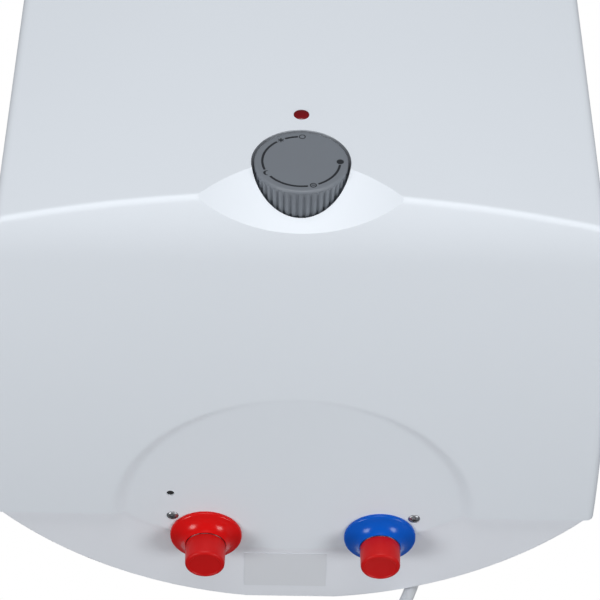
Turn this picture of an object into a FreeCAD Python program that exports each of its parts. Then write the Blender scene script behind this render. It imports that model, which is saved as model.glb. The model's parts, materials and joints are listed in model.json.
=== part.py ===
import FreeCAD
import Part

import math
import os

# A small storage water heater that hangs on a wall with its pipes below.
# Millimetres. +X right as seen by the user, -Y towards the user, +Z up.
# The wall is the plane y = 0. The origin lies on it, midway between the two hanger slots.

# Casing
body_height = 500.0        # top of the casing to the pad under it
body_depth = 310.0         # wall to the front crease
half_width = 171.0         # at the parting plane
slot_drop = 110.0          # top of the casing to the hanger slots
casing_wall = 3.0
parting_depth = 80.0       # wall to the plane where front and rear cover meet
front_half_width = 151.5   # of the sides at a line ahead of the crease
front_margin = 20.0        # how far ahead that line is
bow_radius = 790.0         # of the front in plan
side_bulge = 4.5           # how far each side bows out in plan
front_corner_radius = 5.0
inner_corner_radius = 1.0  # least rounding of the same corners inside
rear_land = 26.35          # half width of the flat middle of the back
top_edge_share = 0.9       # rounding all round the top, as a share of the corners' radius
cover_gap = 0.3            # between the two covers, and round the tongue
lip_length = 7.0           # of the rear cover's lip inside the front cover
lip_wall = 1.5
lip_root = 8.0             # of the thicker band that the lip grows from
seat_reach = 11.0          # of the tongue's seat ahead of the parting plane

# Underside, measured up from the pad
wing_drop = 2.5            # how far the underside hangs below the pad at the parting plane
chin_start = 96.0          # parting plane to where the pad runs into the underside
chin_break = 38.0          # front crease back to where the underside turns up
chin_break_rise = 8.5
crease_rise = 20.0
front_lean = 3.0           # degrees off plumb, leaning back
top_fall_front = 14.0      # fall of the top towards the front
top_fall_rear = 6.0
rear_floor_rise = 1.5      # underside of the rear cover above the pad
pad_radius = 95.0
pad_slope = 3.0            # widening of the pad's soft edge per millimetre of depth
tongue_radius = 159.0      # rear edge of the tongue
tongue_half_width = 97.0

# Pipes
pipe_spacing = 100.0
pipe_wall_distance = 59.5
thread_radius = 10.45      # G 1/2 thread over its crests
thread_depth = 1.1
thread_pitch = 1.814
thread_turns = 7
pipe_bore_radius = 7.5
pipe_stub = 20.7           # pipe end below the pad
pipe_inside = 20.0         # pipe end above the tank's bottom
riser_radius = 6.0         # thin part of the hot pipe inside the tank
riser_top_gap = 18.0
pipe_hole_clearance = 0.85

# Rosettes and transport caps
rosette_radius = 20.6
rosette_height = 8.4
rosette_neck = 11.9
rosette_wall = 1.3
rosette_clearance = 0.3
cap_radius = 11.5
cap_length = 13.9
cap_end_wall = 1.9
cap_clearance = 0.05
cap_gap = 0.4              # rosette to cap
cap_travel = 30.0

# Knob, lamp and scoop
knob_rise = 46.2           # centre above the pad
knob_radius = 24.5
knob_height = 20.0
knob_rim = 1.8
knob_ribs = 42
rib_depth = 0.7
knob_wall = 2.4
knob_hub_radius = 6.5
knob_pocket_gap = 1.4
knob_pocket_depth = 23.0
scoop_radius = 118.0
scoop_top_rise = 47.0      # where the scoop's middle line meets the front
scoop_foot = 20.4          # and where it meets the underside, behind the crease
lamp_rise = 84.8
lamp_radius = 4.1
lamp_dome = 0.8
lamp_length = 14.0
lamp_fit = 0.1
spindle_radius = 3.0
spindle_flat = 1.0         # depth of the flat
spindle_clearance = 0.04

# Screws through the tongue, and the hole for the reset tool
screw_spacing = 137.8
screw_wall_distance = 76.0
screw_head_radius = 3.4
screw_head_height = 2.2
screw_shank_radius = 1.7
screw_length = 11.0
screw_sink = 1.2
reset_x = -69.8
reset_wall_distance = 95.8
reset_hole_radius = 2.2
reset_pin_radius = 1.6
reset_clearance = 0.1
reset_travel = 2.0
reset_recess = 0.8         # button's end above the pad

# Blank plate under the rear cover
plate_x = -4.0
plate_y = -11.0            # its edge next to the wall
plate_length = 48.0
plate_width = 30.0
plate_thickness = 0.3

# Tank
tank_radius = 105.0
tank_wall = 1.8
tank_wall_distance = 120.0
tank_floor_rise = 100.0    # tank bottom above the pad
tank_length = 350.0
tank_knuckle = 20.0
tank_dome = 28.0
flange_opening = 32.0      # radius
flange_radius = 48.0
flange_ring_height = 6.0
flange_thickness = 3.0
gasket_thickness = 2.0
flange_studs = 5
flange_stud_circle = 41.0  # radius
m6_radius = 3.0
m6_nut_flats = 10.0
m6_nut_height = 5.0
stud_clearance = 0.3
collar_wall = 3.5
collar_height = 8.0
weld_clearance = 0.05

# Parts on the flange
element_tube_radius = 4.25
element_spacing = 28.0
element_rise = 210.0
element_pin_radius = 2.0
element_pin_drop = 16.0
well_radius = 4.5
well_bore_radius = 3.4
well_offset = 20.0
well_height = 170.0
bulb_radius = 3.2
bulb_length = 80.0
capillary_radius = 0.9
anode_radius = 8.0
anode_length = 180.0
anode_offset = 20.0

# Insulation
insulation_thickness = 22.0
insulation_clearance = 0.3
insulation_skirt = 14.0

# Hanger
slot_spacing = 150.0
slot_half_width = 4.25
slot_length = 20.0
hanger_thickness = 2.5
hanger_half_width = 98.0
hanger_half_height = 30.0
hanger_joggle = 8.5        # offset of the middle of the plate from the wall
hanger_middle = 36.0       # half width of the offset part
hanger_ramp = 8.0
hanger_recess = 47.0       # half width of the recess behind it
hanger_stud_spacing = 44.0
m8_radius = 4.0
m8_nut_flats = 13.0
m8_nut_height = 6.3
platform_half_width = 104.0
platform_half_height = 42.0
platform_reach = 30.0      # from the wall into the casing
hook_pocket_half_width = 20.0
hook_pocket_half_height = 24.0
hook_pocket_depth = 16.0
seat_gap = 0.3

# Thermostat and cut-out
thermostat_width = 36.0
thermostat_height = 30.0
thermostat_depth = 22.0
thermostat_screw_spacing = 28.0
thermostat_nose_radius = 5.0
m4_radius = 1.95
m4_head_radius = 3.5
m4_head_height = 2.2
cutout_radius = 9.0
cutout_height = 14.0
cutout_neck_radius = 4.0
cutout_rise = 19.5         # bracket above the pad
bracket_length = 44.0
bracket_width = 18.0
bracket_thickness = 1.5
bracket_post_radius = 4.0
bracket_post_spacing = 32.0

# Mains entry
block_length = 36.0
block_width = 18.0
block_height = 14.0
block_x = 117.0
block_wall_distance = 66.0
block_screw_radius = 2.2
gland_end = FreeCAD.Vector(79.0, -12.5, -362.0)
gland_direction = FreeCAD.Vector(-0.30, 0.40, -0.866)
gland_length = 24.0
gland_base_radius = 6.4
gland_tip_radius = 4.7
gland_collar_radius = 7.6
gland_collar_height = 3.0
gland_neck_radius = 5.0
gland_pocket_radius = 9.0

# Mains lead
cord_diameter = 7.4
cord_route = [
    (79.0, -12.5, -362.0),
    (73.0, -4.5, -379.3),
    (64.6, -6.0, -403.0),
    (52.0, -8.0, -428.0),
    (39.0, -9.8, -453.0),
    (31.0, -10.5, -479.0),
    (31.0, -10.5, -501.0),
]
coil_pitch = 8.1
coil_end_run = 26.0        # straight, down to the plug
coil_turns = 5.0
coil_mid_radius = 41.0
tie_width = 9.0
tie_thickness = 1.2
tie_clearance = 0.4

# Plug
plug_radius = 18.0
plug_depth = 20.0
plug_neck_radius = 9.0
plug_neck_length = 20.0
plug_relief_length = 24.0
plug_relief_radius = 5.0
pin_spacing = 19.0
pin_radius = 2.4
pin_length = 19.0
clip_width = 8.0
clip_thickness = 1.0

# Inner leads
lead_radius = 1.4
sheath_seat = 3.0          # how far the sheath reaches into the block

# Places worked out from the above
top_z = slot_drop
pad_z = top_z - body_height
wing_z = pad_z - wing_drop
rear_floor_z = pad_z + rear_floor_rise
crease_z = pad_z + crease_rise
front_y = -body_depth
parting_y = -parting_depth
pipe_y = -pipe_wall_distance
pipe_x = pipe_spacing / 2
tank_y = -tank_wall_distance
tank_floor_z = pad_z + tank_floor_rise
tank_top_z = tank_floor_z + tank_length
flange_top_z = tank_floor_z - flange_ring_height
gasket_z = flange_top_z - gasket_thickness
flange_z = gasket_z - flange_thickness
knob_z = pad_z + knob_rise
lamp_z = pad_z + lamp_rise
reset_y = -reset_wall_distance
cord_radius = cord_diameter / 2
far = 400.0                # larger than the casing any way


def vec(x, y, z):
    return FreeCAD.Vector(x, y, z)


X = vec(1, 0, 0)
Y = vec(0, 1, 0)
Z = vec(0, 0, 1)


def box(x0, x1, y0, y1, z0, z1):
    return Part.makeBox(x1 - x0, y1 - y0, z1 - z0, vec(x0, y0, z0))


def cylinder(radius, base, length, axis=Z):
    return Part.makeCylinder(radius, length, base, axis)


def tube_between(outer, inner, base, length, axis=Z):
    return cylinder(outer, base, length, axis).cut(cylinder(inner, base, length, axis))


def prism(points, direction):
    """A straight prism on the closed polygon through the points."""
    return Part.Face(Part.makePolygon(points + points[:1])).extrude(direction)


def hexagon(flats, base, height, axis=Z):
    across = flats / math.sqrt(3)
    turn = FreeCAD.Rotation(Z, axis)
    corners = []
    for k in range(6):
        angle = math.radians(60 * k)
        corners.append(base + turn.multVec(vec(across * math.cos(angle), across * math.sin(angle), 0)))
    return prism(corners, axis * height)


def turned(profile, centre):
    """A solid turned about the upright line through centre, from (radius, z) points."""
    points = [vec(centre.x + r, centre.y, z) for r, z in profile]
    face = Part.Face(Part.makePolygon(points + points[:1]))
    return face.revolve(centre, Z, 360)


def joined(shapes):
    whole = shapes[0]
    for shape in shapes[1:]:
        whole = whole.fuse(shape)
    return whole.removeSplitter()


def mirrored_x(shape):
    return shape.mirror(vec(0, 0, 0), X)


def save(name, shape):
    """Write one node, as a plain list of solids, and say what it holds."""
    solids = shape.Solids
    if not solids:
        raise ValueError(name + " has no solid")
    whole = solids[0] if len(solids) == 1 else Part.makeCompound(solids)
    if not whole.isValid():
        raise ValueError(name + " is not valid")
    whole.exportStep("parts/" + name + ".step")
    print(f"{name}: {len(solids)} solids, {whole.Volume / 1000:.2f} cm3")
    return whole


def arc_on(start, direction, end):
    """The arc that leaves start along direction and reaches end, and its direction there."""
    chord = end - start
    along = FreeCAD.Vector(direction).normalize()
    side = chord - along * chord.dot(along)
    if side.Length < 1e-9:
        return Part.LineSegment(start, end).toShape(), along
    side.normalize()
    half = math.atan2(chord.dot(side), chord.dot(along))
    radius = chord.Length / (2 * math.sin(half))
    centre = start + side * radius
    middle = centre - side * radius * math.cos(half) + along * radius * math.sin(half)
    leaving = along * math.cos(2 * half) + side * math.sin(2 * half)
    return Part.Arc(start, middle, end).toShape(), leaving


def inset_wire(wire, inset):
    return wire if inset == 0 else wire.makeOffset2D(-inset, 2)


def lean_direction():
    lean = math.radians(front_lean)
    return vec(0, math.sin(lean), math.cos(lean))


def front_out():
    """The outward direction of the front's middle line."""
    up = lean_direction()
    return vec(0, -up.z, up.y)


def front_point(z):
    up = lean_direction()
    return vec(0, front_y + (z - crease_z) * up.y / up.z, z)


def on_front(shape, z):
    """Put a shape that was modelled along +Z, face at the origin, on the front at height z."""
    placed = shape.copy()
    placed.Placement = FreeCAD.Placement(front_point(z), FreeCAD.Rotation(Z, front_out()))
    return placed


def underside_edges():
    """The underside's middle line from the parting plane to the crease, and its direction there."""
    points = [
        vec(0, parting_y, wing_z),
        vec(0, parting_y - chin_start, pad_z),
        vec(0, front_y + chin_break, pad_z + chin_break_rise),
        vec(0, front_y, crease_z),
    ]
    edges = []
    direction = Y * -1
    for a, b in zip(points, points[1:]):
        edge, direction = arc_on(a, direction, b)
        edges.append(edge)
    return edges, direction


def underside_point(depth):
    upright = Part.LineSegment(vec(0, -depth, pad_z - far), vec(0, -depth, pad_z + far)).toShape()
    return Part.Wire(underside_edges()[0]).distToShape(upright)[1][0][0]


def side_wire():
    """The casing's middle section without its front: underside, top and back."""
    edges, direction = underside_edges()
    low = vec(0, 0, wing_z)
    crease = vec(0, front_y, crease_z)
    beyond = crease + direction * (2 * front_margin)
    ahead = vec(0, beyond.y, top_z - top_fall_front)
    back = vec(0, 0, top_z - top_fall_rear)
    edges.insert(0, Part.LineSegment(low, vec(0, parting_y, wing_z)).toShape())
    edges.append(Part.LineSegment(crease, beyond).toShape())
    edges.append(Part.LineSegment(beyond, ahead).toShape())
    edges.append(Part.Arc(ahead, vec(0, parting_y, top_z), back).toShape())
    edges.append(Part.LineSegment(back, low).toShape())
    return Part.Wire(edges)


def rear_centre():
    """The y of the back's centre, for the arc from the parting plane's sides to the flat middle."""
    return (rear_land ** 2 - half_width ** 2 - parting_depth ** 2) / (2 * parting_depth)


def rear_half(x):
    """The y of the curved back at x."""
    return rear_centre() + math.sqrt(rear_land ** 2 + rear_centre() ** 2 - x ** 2)


def flip(point):
    return vec(-point.x, point.y, point.z)


def plan_wire():
    """The sides and the back seen from above, closed by a straight line ahead of the front."""
    ahead = vec(front_half_width, front_y - front_margin, 0)
    parting_right = vec(half_width, parting_y, 0)
    middle = (ahead + parting_right) * 0.5
    middle.x += side_bulge
    back_x = (half_width + rear_land) / 2
    back = vec(back_x, rear_half(back_x), 0)
    land_right = vec(rear_land, 0, 0)
    return Part.Wire([
        Part.LineSegment(flip(ahead), ahead).toShape(),
        Part.Arc(ahead, middle, parting_right).toShape(),
        Part.Arc(parting_right, back, land_right).toShape(),
        Part.LineSegment(land_right, flip(land_right)).toShape(),
        Part.Arc(flip(land_right), flip(back), flip(parting_right)).toShape(),
        Part.Arc(flip(parting_right), flip(middle), flip(ahead)).toShape(),
    ])


def edges_in(solid, keep):
    return [edge for edge in solid.Edges if keep(edge.BoundBox)]


def casing(inset):
    """The casing as one solid, moved in by inset on every side, rounded at its front sides and its top."""
    upright = Part.Face(inset_wire(plan_wire(), inset)).extrude(Z * (2 * far))
    upright.translate(Z * (-far - far / 2))
    section = Part.Face(inset_wire(side_wire(), inset)).extrude(X * (2 * far))
    section.translate(X * -far)
    up = lean_direction()
    axis_at = front_point(crease_z) - front_out() * bow_radius
    front = cylinder(bow_radius - inset, axis_at - up * far, 3 * far, up)
    solid = upright.common(section).common(front)
    sides = edges_in(solid, lambda b: b.ZLength > far / 2 and b.YMax < -body_depth / 2)
    corner = max(front_corner_radius - inset, inner_corner_radius)
    solid = solid.makeFillet(corner, sides)
    rim = edges_in(solid, lambda b: b.ZMin > top_z - 3 * top_fall_front)
    return solid.makeFillet(top_edge_share * corner, rim)


def scoop(grow):
    """The hollow round the knob's lower half, as the round cutter that leaves it."""
    top = front_point(pad_z + scoop_top_rise)
    foot = underside_point(body_depth - scoop_foot)
    along = (top - foot).normalize()
    out = vec(0, -along.z, along.y)
    middle = (top + foot) * 0.5 + out * scoop_radius
    return cylinder(scoop_radius + grow, middle - along * (far / 4), far / 2, along)


def pad_cutter(grow):
    """What the flat pad takes off the underside, with its sloping edge."""
    depth = 4 * wing_drop
    top = pad_radius + grow
    return Part.makeCone(top + pad_slope * depth, top, depth, vec(0, parting_y, pad_z - depth + grow))


def knob_pocket(grow):
    radius = knob_radius + knob_pocket_gap + grow
    depth = knob_pocket_depth + grow
    return on_front(cylinder(radius, Z * -depth, depth + knob_radius), knob_z)


def tongue(grow, z, height):
    """The rounded end of the pad that reaches behind the parting plane."""
    rise = math.sqrt(tongue_radius ** 2 - tongue_half_width ** 2)
    centre = vec(0, parting_y - rise, z)
    disc = cylinder(tongue_radius + grow, centre, height)
    return disc.common(box(-far, far, parting_y, 0, z, z + height))


def pipe_places():
    return [vec(-pipe_x, pipe_y, 0), vec(pipe_x, pipe_y, 0)]


def screw_places():
    return [vec(side * screw_spacing / 2, -screw_wall_distance, pad_z) for side in (-1, 1)]


def through(places, radius):
    """Upright cutters at the places, through the floor of the casing."""
    return [cylinder(radius, vec(p.x, p.y, pad_z - 2 * casing_wall), 8 * casing_wall) for p in places]


def bracket_places():
    return [vec(reset_x + side * bracket_post_spacing / 2, reset_y, 0) for side in (-1, 1)]


def front_cover():
    outer = casing(0).cut([scoop(0), pad_cutter(0), knob_pocket(0)])
    inner = casing(casing_wall).cut([scoop(casing_wall), pad_cutter(casing_wall), knob_pocket(casing_wall)])
    shell = outer.cut(inner).common(box(-far, far, -far, parting_y, -2 * far, far))
    tip = tongue(0, pad_z, casing_wall)
    root = box(-tongue_half_width, tongue_half_width, parting_y - 1, parting_y, pad_z, pad_z + casing_wall)
    post_base = pad_z + casing_wall / 2
    posts = [
        cylinder(bracket_post_radius, vec(p.x, p.y, post_base), cutout_rise - bracket_thickness - casing_wall / 2)
        for p in bracket_places()
    ]
    cover = joined([shell, tip, root] + posts)
    cuts = through(pipe_places(), thread_radius + pipe_hole_clearance)
    cuts += through(screw_places(), screw_shank_radius + reset_clearance)
    cuts += [cylinder(screw_head_radius + reset_clearance, p - Z, 1 + screw_sink) for p in screw_places()]
    reset = vec(reset_x, reset_y, 0)
    cuts += through([reset], reset_hole_radius)
    cuts += [
        cylinder(block_screw_radius / 2, vec(p.x, p.y, pad_z + casing_wall), cutout_rise)
        for p in bracket_places()
    ]
    floor = -knob_pocket_depth - casing_wall - 1
    cuts.append(on_front(cylinder(thermostat_nose_radius + seat_gap, Z * floor, casing_wall + 2), knob_z))
    for side in (-1, 1):
        place = vec(side * thermostat_screw_spacing / 2, 0, floor)
        cuts.append(on_front(cylinder(m4_radius + seat_gap, place, casing_wall + 2), knob_z))
    cuts.append(on_front(cylinder(lamp_radius + lamp_fit, Z * (-2 * casing_wall), 4 * casing_wall), lamp_z))
    return cover.cut(cuts)


def gland_axis():
    return FreeCAD.Vector(gland_direction).normalize()


def gland_base():
    return gland_end - gland_axis() * gland_length


def hanger_stud_places():
    return [vec(side * hanger_stud_spacing / 2, 0, 0) for side in (-1, 1)]


def mirrored_boxes(x0, x1, y0, y1, z0, z1):
    return [box(x0, x1, y0, y1, z0, z1), box(-x1, -x0, y0, y1, z0, z1)]


def rear_cover():
    parting = parting_y + cover_gap
    floor_top = rear_floor_z + casing_wall
    outer = casing(0)
    inside = casing(casing_wall)
    lip_outer = casing(casing_wall + cover_gap)
    lip_inner = casing(casing_wall + cover_gap + lip_wall)
    above_floor = box(-far, far, -far, far, floor_top, far)
    root_band = box(-far, far, parting + lip_root, far, floor_top, far)
    behind = box(-far, far, parting, far, rear_floor_z, far)
    shell = outer.common(behind).cut(inside.common(root_band)).cut(lip_inner.common(above_floor))
    lip_box = box(-far, far, parting_y - lip_length, parting + lip_root / 2, floor_top, far)
    lip = lip_outer.common(lip_box).cut(lip_inner)

    seat_z = pad_z + casing_wall + cover_gap
    seat = tongue(cover_gap + casing_wall, seat_z, casing_wall)
    seat_half = tongue_half_width - 2 * pad_slope * casing_wall
    seat_front = box(-seat_half, seat_half, parting_y - seat_reach, parting_y + 1, seat_z, seat_z + casing_wall)
    boss_height = screw_length
    bosses = [cylinder(screw_head_radius + 1, vec(p.x, p.y, seat_z), boss_height) for p in screw_places()]

    back = -hanger_thickness - seat_gap
    hollow_back = back - casing_wall
    w, h = platform_half_width, platform_half_height
    platform = box(-w, w, -platform_reach, back, -h, h)
    w, h = w - casing_wall, h - casing_wall
    platform_hollow = box(-w, w, -platform_reach - far, hollow_back, -h, h)
    recess_floor = -hanger_joggle - hanger_thickness - seat_gap
    rw, rh = hanger_recess, hanger_half_height + 1.5
    recess_tub = box(-rw - casing_wall, rw + casing_wall, recess_floor - casing_wall, back,
                     -rh - casing_wall, rh + casing_wall)
    recess = box(-rw, rw, recess_floor, 1, -rh, rh)
    x0 = slot_spacing / 2 - hook_pocket_half_width
    x1 = slot_spacing / 2 + hook_pocket_half_width
    pocket_floor = back - hook_pocket_depth
    ph = hook_pocket_half_height
    tubs = mirrored_boxes(x0 - casing_wall, x1 + casing_wall, pocket_floor - casing_wall, back,
                          -ph - casing_wall, ph + casing_wall)
    pockets = mirrored_boxes(x0, x1, pocket_floor, 1, -ph, ph)

    axis = gland_axis()
    base = gland_base()
    cup = cylinder(gland_pocket_radius + casing_wall, base - axis * casing_wall, gland_length * 2, axis)
    cup = cup.common(outer).common(behind)
    cup_hollow = cylinder(gland_pocket_radius, base, gland_length * 3, axis)
    neck_hole = cylinder(gland_neck_radius, base - axis * (2 * casing_wall), gland_length, axis)

    cover = joined([shell, lip, platform])
    room_for_tank = cylinder(tank_radius + 2 * seat_gap, vec(0, tank_y, -far / 2), far)
    under_tongue = tongue(cover_gap, rear_floor_z - 1, seat_z - rear_floor_z + 1)
    cover = cover.cut([platform_hollow, room_for_tank, under_tongue])
    cover = joined([cover, seat, seat_front, recess_tub, cup] + tubs + bosses)
    cuts = pockets + [recess, cup_hollow, neck_hole]
    cuts += through(pipe_places(), thread_radius + pipe_hole_clearance)
    cuts += [cylinder(screw_shank_radius + stud_clearance / 6, p, 4 * casing_wall + boss_height)
             for p in screw_places()]
    cuts += [cylinder(m8_radius + 2 * stud_clearance, vec(p.x, -platform_reach, 0), platform_reach, Y)
             for p in hanger_stud_places()]
    cuts += [cylinder(block_screw_radius / 2, vec(p.x, p.y, floor_top - 2), casing_wall)
             for p in block_screw_places()]
    return cover.cut(cuts)


def tank_form(inset):
    """The tank's outer form, or its hollow when moved in by inset."""
    radius = tank_radius - inset
    floor = tank_floor_z + inset
    top = tank_top_z - inset
    knuckle = tank_knuckle - inset
    at = vec(0, tank_y, 0)
    a = at + vec(0, 0, floor)
    b = at + vec(radius - knuckle, 0, floor)
    c = at + vec(radius, 0, floor + knuckle)
    d = at + vec(radius, 0, tank_top_z - tank_dome)
    e = at + vec(0, 0, top)
    bend = b + vec(knuckle * math.sqrt(0.5), 0, knuckle * (1 - math.sqrt(0.5)))
    rise = top - tank_top_z + tank_dome
    dome_radius = (radius ** 2 + rise ** 2) / (2 * rise)
    half = math.asin(radius / dome_radius) / 2
    crown = e + vec(dome_radius * math.sin(half), 0, dome_radius * (math.cos(half) - 1))
    wire = Part.Wire([
        Part.LineSegment(a, b).toShape(),
        Part.Arc(b, bend, c).toShape(),
        Part.LineSegment(c, d).toShape(),
        Part.Arc(d, crown, e).toShape(),
        Part.LineSegment(e, a).toShape(),
    ])
    return Part.Face(wire).revolve(at, Z, 360)


def flange_stud_places():
    places = []
    for k in range(flange_studs):
        angle = 2 * math.pi * k / flange_studs
        places.append(vec(flange_stud_circle * math.cos(angle), tank_y + flange_stud_circle * math.sin(angle), 0))
    return places


def inner_tank():
    axis = vec(0, tank_y, 0)
    shell = tank_form(0)
    ring = cylinder(flange_radius, axis + Z * flange_top_z, flange_ring_height + tank_wall / 2)
    collar_radius = thread_radius + weld_clearance + collar_wall
    collars = [
        cylinder(collar_radius, p + Z * (tank_floor_z - collar_height), collar_height + tank_wall + 3)
        for p in pipe_places()
    ]
    hollow = tank_form(tank_wall)
    body = joined([shell, ring] + collars).cut(hollow)
    stud_end = flange_z - m6_nut_height - 1.5
    studs = [cylinder(m6_radius, p + Z * stud_end, flange_top_z + 2 - stud_end) for p in flange_stud_places()]
    hanger_end = -hanger_joggle + m8_nut_height
    hanger_studs = []
    for p in hanger_stud_places():
        start = tank_y + math.sqrt(tank_radius ** 2 - p.x ** 2) - tank_wall / 2
        hanger_studs.append(cylinder(m8_radius, vec(p.x, start, 0), hanger_end - start, Y))
    body = joined([body] + studs + hanger_studs)
    cuts = [cylinder(flange_opening, axis + Z * (flange_top_z - 1), flange_ring_height + tank_wall + 2)]
    bore = thread_radius + weld_clearance
    cuts += [cylinder(bore, p + Z * (tank_floor_z - collar_height - 1), collar_height + tank_wall + 6)
             for p in pipe_places()]
    return body.cut(cuts)


def flange_gasket():
    disc = tube_between(flange_radius, flange_opening, vec(0, tank_y, gasket_z), gasket_thickness)
    return disc.cut([cylinder(m6_radius + stud_clearance, p + Z * gasket_z, gasket_thickness)
                     for p in flange_stud_places()])


def element_places():
    return [vec(side * element_spacing / 2, tank_y, 0) for side in (-1, 1)]


def well_place():
    return vec(0, tank_y - well_offset, 0)


def anode_place():
    return vec(0, tank_y + anode_offset, 0)


def flange_plate():
    disc = cylinder(flange_radius, vec(0, tank_y, flange_z), flange_thickness)
    cuts = [(p, m6_radius + stud_clearance) for p in flange_stud_places()]
    cuts += [(p, element_tube_radius + weld_clearance) for p in element_places()]
    cuts.append((well_place(), well_radius + weld_clearance))
    cuts.append((anode_place(), m6_radius + stud_clearance))
    return disc.cut([cylinder(r, p + Z * flange_z, flange_thickness) for p, r in cuts])


def flange_nuts():
    nuts = []
    for p in flange_stud_places() + [anode_place()]:
        nut = hexagon(m6_nut_flats, p + Z * (flange_z - m6_nut_height), m6_nut_height)
        nuts.append(nut.cut(cylinder(m6_radius + weld_clearance, p + Z * (flange_z - far / 4), far / 2)))
    return Part.makeCompound(nuts)


def heating_element():
    bush = flange_thickness + 1
    top = flange_z + element_rise
    pieces = []
    for p in element_places():
        pieces.append(cylinder(element_tube_radius, p + Z * (flange_z - bush), element_rise + bush))
        pieces.append(cylinder(element_tube_radius + 2, p + Z * (flange_z - bush), bush))
        pieces.append(cylinder(element_pin_radius, p + Z * (flange_z - element_pin_drop), element_pin_drop))
    start = element_places()[1] + Z * top
    ring = Part.Face(Part.Wire(Part.makeCircle(element_tube_radius, start, Z)))
    pieces.append(ring.revolve(vec(0, tank_y, top), Y, -180))
    return joined(pieces)


def thermowell():
    p = well_place()
    base = flange_z - flange_thickness
    body = cylinder(well_radius, p + Z * base, well_height + flange_thickness)
    body = body.fuse(cylinder(well_radius + 2.5, p + Z * base, flange_thickness)).removeSplitter()
    return body.cut(cylinder(well_bore_radius, p + Z * (base - 1), well_height + flange_thickness - 1))


def anode_rod():
    p = anode_place()
    rod = cylinder(anode_radius, p + Z * (flange_z + flange_thickness), anode_length)
    stem_end = flange_z - m6_nut_height - 1.5
    return joined([rod, cylinder(m6_radius, p + Z * stem_end, flange_z + flange_thickness + 1 - stem_end)])


def pipe_end_z():
    return pad_z - pipe_stub


def threaded_stub():
    """Radius and height points of the pipe's outside, from its lower end up to the thread's run-out."""
    z = pipe_end_z()
    points = [(thread_radius - thread_depth, z)]
    for k in range(thread_turns):
        points.append((thread_radius, z + (k + 0.4) * thread_pitch))
        points.append((thread_radius, z + (k + 0.6) * thread_pitch))
        points.append((thread_radius - thread_depth, z + (k + 1) * thread_pitch))
    points.append((thread_radius, z + (thread_turns + 0.4) * thread_pitch))
    return points


def cold_inlet_pipe():
    top = tank_floor_z + pipe_inside
    points = threaded_stub() + [(thread_radius, top), (pipe_bore_radius, top), (pipe_bore_radius, pipe_end_z())]
    return turned(points, pipe_places()[1])


def hot_outlet_pipe():
    shoulder = tank_floor_z + pipe_inside
    top = tank_top_z - tank_wall - riser_top_gap
    bore = riser_radius - 1.2
    points = threaded_stub() + [
        (thread_radius, shoulder),
        (riser_radius, shoulder + thread_radius - riser_radius),
        (riser_radius, top),
        (bore, top),
        (bore, shoulder),
        (pipe_bore_radius, shoulder - 3),
        (pipe_bore_radius, pipe_end_z()),
    ]
    return turned(points, pipe_places()[0])


def cold_diffuser():
    """A cap over the cold pipe's end that turns the water sideways through four windows."""
    p = pipe_places()[1]
    pipe_top = tank_floor_z + pipe_inside
    radius = thread_radius + 2
    body = cylinder(radius, p + Z * (pipe_top - 8), 22)
    hollow = cylinder(thread_radius + weld_clearance, p + Z * (pipe_top - 9), 9)
    well = cylinder(pipe_bore_radius, p + Z * (pipe_top - 1), 13)
    slots = []
    for along in (X, Y):
        slot = box(-radius - 1, radius + 1, -3, 3, pipe_top + 2, pipe_top + 10)
        slot.rotate(vec(0, 0, 0), Z, 0 if along == X else 90)
        slot.translate(p)
        slots.append(slot)
    return body.cut([hollow, well] + slots)


def insulation(front):
    inner = tank_radius + insulation_clearance
    z0 = tank_floor_z - insulation_skirt
    top = tank_top_z + insulation_thickness
    axis = vec(0, tank_y, 0)
    block = cylinder(inner + insulation_thickness, axis + Z * z0, top - z0)
    hollow = cylinder(inner, axis + Z * (z0 - 1), tank_top_z + insulation_clearance - z0 + 1)
    split = tank_y - insulation_clearance / 2 if front else tank_y + insulation_clearance / 2
    half = box(-far, far, -far, split, -far, far) if front else box(-far, far, split, 0, -far, far)
    w = platform_half_width + 1
    h = platform_half_height + 1
    stand_off = box(-w, w, -platform_reach - 1, 0, -h, h)
    return block.cut(hollow).common(half).common(casing(casing_wall + 1)).cut(stand_off)


def hanger_plate():
    m, r, t = hanger_middle, hanger_ramp, hanger_thickness
    w, h = hanger_half_width, hanger_half_height
    j = -hanger_joggle
    back = [(-w, 0), (-m - r, 0), (-m, j), (m, j), (m + r, 0), (w, 0)]
    face = [(w, -t), (m + r + t / 2, -t), (m + t / 2, j - t), (-m - t / 2, j - t), (-m - r - t / 2, -t), (-w, -t)]
    plate = prism([vec(x, y, -h) for x, y in back + face], Z * (2 * h))
    cuts = [cylinder(m8_radius + stud_clearance, vec(p.x, j - 2 * t, 0), 4 * t, Y) for p in hanger_stud_places()]
    reach = slot_length / 2 - slot_half_width
    for side in (-1, 1):
        x = side * slot_spacing / 2
        cuts.append(box(x - reach, x + reach, -2 * t, t, -slot_half_width, slot_half_width))
        cuts += [cylinder(slot_half_width, vec(x + end * reach, -2 * t, 0), 3 * t, Y) for end in (-1, 1)]
    return plate.cut(cuts)


def hanger_nuts():
    nuts = []
    for p in hanger_stud_places():
        nut = hexagon(m8_nut_flats, vec(p.x, -hanger_joggle, 0), m8_nut_height, Y)
        nuts.append(nut.cut(cylinder(m8_radius + weld_clearance, vec(p.x, -far / 4, 0), far / 2, Y)))
    return Part.makeCompound(nuts)


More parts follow.
